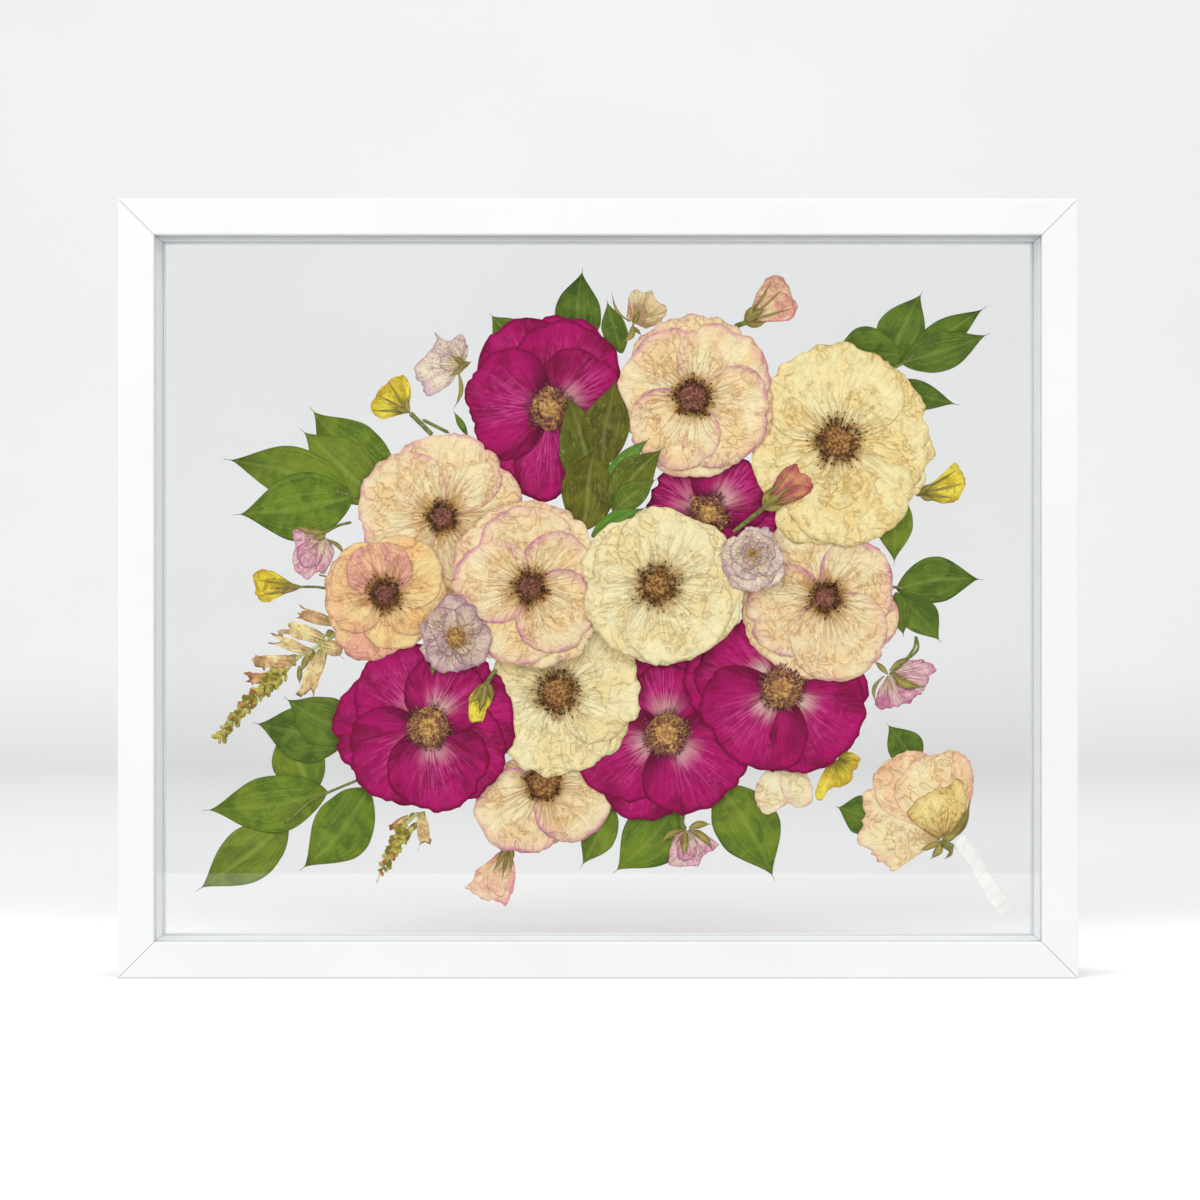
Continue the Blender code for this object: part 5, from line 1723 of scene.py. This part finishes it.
@dataclass
class Studio:
    """The table and backdrop, the lights and the camera."""

    camera_distance: float = 1.32
    lens: float = 70.5
    camera_x: float = 0.0011
    camera_z: float = 0.2127
    table_front: float = 0.50
    table_back: float = 1.65
    sweep_radius: float = 0.60
    wall_top: float = 3.2
    half_width: float = 3.4
    sky: float = 0.86
    mirrored_sky: float = 0.07

    def build(self) -> None:
        """Builds everything that isn't part of the frame."""
        self._build_sweep()
        self._build_lights()
        self._build_camera()

    def _build_sweep(self) -> None:
        """A white table that curves up into a pale backdrop, painted lighter just behind the frame where the
        frame's shadow falls, and painted darker as shade on the far, low floor.
        """
        front = CAD_BOUNDS[0].y - self.table_front
        profile = [(front, -0.002), (front, 0.0), (self.table_back, 0.0)]
        for step in range(1, 13):
            angle = math.pi / 2 * step / 12
            profile.append((self.table_back + self.sweep_radius * math.sin(angle),
                            self.sweep_radius * (1 - math.cos(angle))))
        profile.append((self.table_back + self.sweep_radius, self.wall_top))
        grid = [(side * self.half_width, y, z) for side in (-1, 1) for y, z in profile]
        count = len(profile)
        faces = [(k, k + count, k + count + 1, k + 1) for k in range(count - 1)]
        mesh = bpy.data.meshes.new("studio_table")
        mesh.from_pydata(grid, [], faces)
        mesh.polygons.foreach_set("use_smooth", [True] * len(faces))
        table = bpy.data.objects.new("studio_table", mesh)
        bpy.context.scene.collection.objects.link(table)
        make = Recipe("studio_white", roughness=0.6, specular=0.3)
        here = make.place()
        cloud = make.noise(here, 2.5, 2)
        white = make.mix(make.ramp(cloud, 0.4, 0.6), (0.785, 0.785, 0.785), (0.80, 0.80, 0.80))
        split = make.node("ShaderNodeSeparateXYZ")
        make.feed(split.inputs[0], here)
        # Painted light: the floor just behind the frame is made whiter against the frame's shadow.
        behind = make.times(make.ramp(split.outputs[1], 0.0, 0.03),
                            make.ramp(split.outputs[1], 0.04, 0.30, 1.0, 0.0))
        # Painted shade: the far floor is made greyer, darker with distance.
        far = make.times(make.ramp(split.outputs[1], 0.12, 0.50),
                         make.ramp(split.outputs[2], 0.0, 0.15, 1.0, 0.0))
        white = make.mix(far, white, (0.735, 0.735, 0.735))
        make.colour(make.mix(behind, white, (0.98, 0.98, 0.98)))
        mesh.materials.append(make.material)

    def _lamp(self, name: str, place_at: Point, target: tuple[float, float, float], size: float,
              power: float) -> None:
        """A square soft light.

        Args:
            name: Its name.
            place_at: Where it hangs.
            target: What it faces.
            size: Its side.
            power: Its strength in watts.
        """
        light = bpy.data.lights.new(name, "AREA")
        light.size = size
        light.energy = power
        lamp = bpy.data.objects.new(name, light)
        lamp.location = place_at
        lamp.rotation_euler = (Vector(target) - Vector(place_at)).to_track_quat("-Z", "Y").to_euler()
        bpy.context.scene.collection.objects.link(lamp)

    def _build_lights(self) -> None:
        """Soft lights above, at both sides and on the backdrop, and an even sky that glass mirrors weakly."""
        self._lamp("softbox_above", (-0.2, -0.75, 1.75), (0.0, 0.0, 0.2), 1.4, 11.5)
        self._lamp("softbox_left", (-1.9, -1.5, 0.9), (0.0, 0.0, 0.2), 1.3, 19.0)
        self._lamp("softbox_right", (1.9, -1.5, 0.9), (0.0, 0.0, 0.2), 1.3, 16.0)
        self._lamp("softbox_backdrop", (0.0, 1.1, 2.9), (0.0, 2.1, 0.5), 1.8, 9.5)
        world = bpy.data.worlds.new("studio_sky")
        world.use_nodes = True
        tree = world.node_tree
        background = tree.nodes["Background"]
        background.inputs["Color"].default_value = (0.98, 0.985, 0.99, 1.0)
        mirrored = tree.nodes.new("ShaderNodeLightPath").outputs["Is Glossy Ray"]
        strength = tree.nodes.new("ShaderNodeMapRange")
        tree.links.new(mirrored, strength.inputs["Value"])
        strength.inputs["To Min"].default_value = self.sky
        strength.inputs["To Max"].default_value = self.mirrored_sky
        tree.links.new(strength.outputs["Result"], background.inputs["Strength"])
        bpy.context.scene.world = world

    def _build_camera(self) -> None:
        """The camera, level and square to the front."""
        camera = bpy.data.objects.new("camera", bpy.data.cameras.new("camera"))
        camera.data.lens = self.lens
        camera.location = (self.camera_x, CAD_BOUNDS[0].y - self.camera_distance, self.camera_z)
        camera.rotation_euler = (math.radians(90), 0, 0)
        bpy.context.scene.collection.objects.link(camera)
        bpy.context.scene.camera = camera
        bpy.context.scene.view_settings.view_transform = "Standard"


# ---------------------------------------------------------------- frame


@dataclass
class GlazedFrame:
    """New finishes for the solids that stay as they are."""

    nodes: dict[str, bpy.types.Object] = field(default_factory=dict)

    def build(self) -> None:
        """Dresses the rails, the panes, the spacers, the strips and the hangers."""
        for prefixes, material in (
            (("frame_rail",), self._painted_wood("painted_rail", (2.5, 90, 90))),
            (("frame_stile",), self._painted_wood("painted_stile", (90, 90, 2.5))),
            # The top spacer has painted shade under the lip, near the front pane.
            (("spacer_top",), self._board("board_painted_shade", 0.42)),
            (("spacer_b", "spacer_l", "spacer_r", "rear_strip"), self._board("white_board", 0.0)),
            (("pane_front",), self._glass("clear_front_pane", 0.052)),
            (("pane_rear",), self._glass("clear_rear_pane", 0.010)),
            (("hanger",), self._steel()),
        ):
            for name, node in self.nodes.items():
                if name.startswith(prefixes):
                    node.data.materials.clear()
                    node.data.materials.append(material)

    def _painted_wood(self, name: str, grain: tuple[float, float, float]) -> bpy.types.Material:
        """Smooth white paint over wood, with a trace of the grain along its length.

        Args:
            name: The finish's name.
            grain: How the grain is stretched along the rail.

        Returns:
            The material.
        """
        make = Recipe(name, roughness=0.42, specular=0.4)
        lines = make.noise(make.place(grain), 1.0, 4, 0.2)
        soft = make.noise(make.place(), 14, 2)
        colour = make.mix(make.ramp(soft, 0.35, 0.65), (0.705, 0.708, 0.708), (0.722, 0.725, 0.725))
        make.colour(make.mix(make.times(make.ramp(lines, 0.58, 0.75), 0.15), colour, (0.66, 0.66, 0.65)))
        orange_peel = make.noise(make.place(), 420, 2)
        make.relief(make.sum("ADD", make.times(lines, 0.5), make.times(orange_peel, 0.3)), 0.25, 0.0003)
        return make.material

    def _board(self, name: str, shade: float) -> bpy.types.Material:
        """White board, faintly blue, with a fine tooth, and painted shade towards the front pane when asked.

        Args:
            name: The finish's name.
            shade: How much painted shade greys it towards the front pane, under the lip.

        Returns:
            The material.
        """
        make = Recipe(name, roughness=0.75, specular=0.25)
        here = make.place()
        tooth = make.noise(here, 900, 3)
        white = make.mix(make.ramp(tooth, 0.4, 0.6), (0.86, 0.885, 0.91), (0.88, 0.90, 0.925))
        split = make.node("ShaderNodeSeparateXYZ")
        make.feed(split.inputs[0], here)
        # Painted shade: greyer towards the front pane.
        make.colour(make.mix(make.ramp(split.outputs[1], -0.012, 0.006, shade, 0.0), white,
                             (0.30, 0.31, 0.33)))
        make.relief(tooth, 0.3, 0.0001)
        return make.material

    def _glass(self, name: str, square_on: float) -> bpy.types.Material:
        """Clear thin glass: what is behind shows straight through, and its faces mirror the room.

        Args:
            name: The finish's name.
            square_on: The share that each face mirrors when it is seen square on.

        Returns:
            The material.
        """
        make = Recipe(name)
        clear = make.node("ShaderNodeBsdfTransparent")
        clear.inputs["Color"].default_value = (0.998, 1.0, 0.999, 1.0)
        mirror = make.node("ShaderNodeBsdfGlossy")
        mirror.inputs["Roughness"].default_value = 0.0
        slant = make.node("ShaderNodeLayerWeight").outputs["Facing"]
        share = make.sum("ADD", square_on, make.times(make.sum("POWER", slant, 5.0), 1 - square_on))
        blend = make.node("ShaderNodeMixShader")
        make.feed(blend.inputs[0], share)
        make.feed(blend.inputs[1], clear.outputs["BSDF"])
        make.feed(blend.inputs[2], mirror.outputs["BSDF"])
        make.feed(make.output.inputs["Surface"], blend.outputs["Shader"])
        return make.material

    def _steel(self) -> bpy.types.Material:
        """Bright rolled steel with fine lines."""
        make = Recipe("rolled_steel", roughness=0.32, metallic=1.0)
        lines = make.noise(make.place((40, 40, 2500)), 1.0, 2)
        make.colour(make.mix(make.ramp(lines, 0.35, 0.65), (0.50, 0.50, 0.49), (0.66, 0.66, 0.65)))
        make.relief(lines, 0.2, 0.0001)
        return make.material


def main() -> None:
    """Builds the scene piece by piece."""
    logging.basicConfig(level=logging.INFO, format="%(message)s")
    finishes = Finishes()
    ring = GrainRing()
    GlazedFrame(frame["nodes"]).build()
    petal_finish = {
        "bloom_cream_right": finishes.cream,
        "bloom_cream_middle": finishes.pale,
        "bloom_cream_low": finishes.pale,
        "bloom_peach": finishes.peach,
    }
    by_slot = {"petal_magenta": finishes.magenta, "petal_blush": finishes.blush}
    for number, bloom in enumerate(blooms()):
        finish = petal_finish.get(bloom.node) or by_slot[bloom.slot]
        bloom.build(finish, finishes, ring, 100 * number + 13)
        LOG.info("%s: %d petals", bloom.node, len(bloom.petals))
    for number, spray in enumerate(sprays()):
        spray.build(finishes, 3000 + 40 * number)
        LOG.info("%s: %d leaves", spray.name, len(spray.leaves))
    for number, bud in enumerate([*side_buds(), single_rose()]):
        bud.build(finishes, 5000 + 90 * number)
        LOG.info("%s: %d petals", bud.node, len(bud.petals))
    bracts = BractSpray()
    for number, spike in enumerate(spikes()):
        spike.build(finishes, bracts, 7000 + 90 * number)
        LOG.info("%s: %d florets", spike.node, len(spike.florets))
    for number, rose in enumerate(ruffled_roses()):
        rose.build(finishes, ring, 8000 + 90 * number)
        LOG.info("%s: %d petals", rose.node, len(rose.petals))
    Ribbon().build(finishes.satin)
    LOG.info("ribbon")
    Studio().build()


if __name__ == "__main__":
    main()
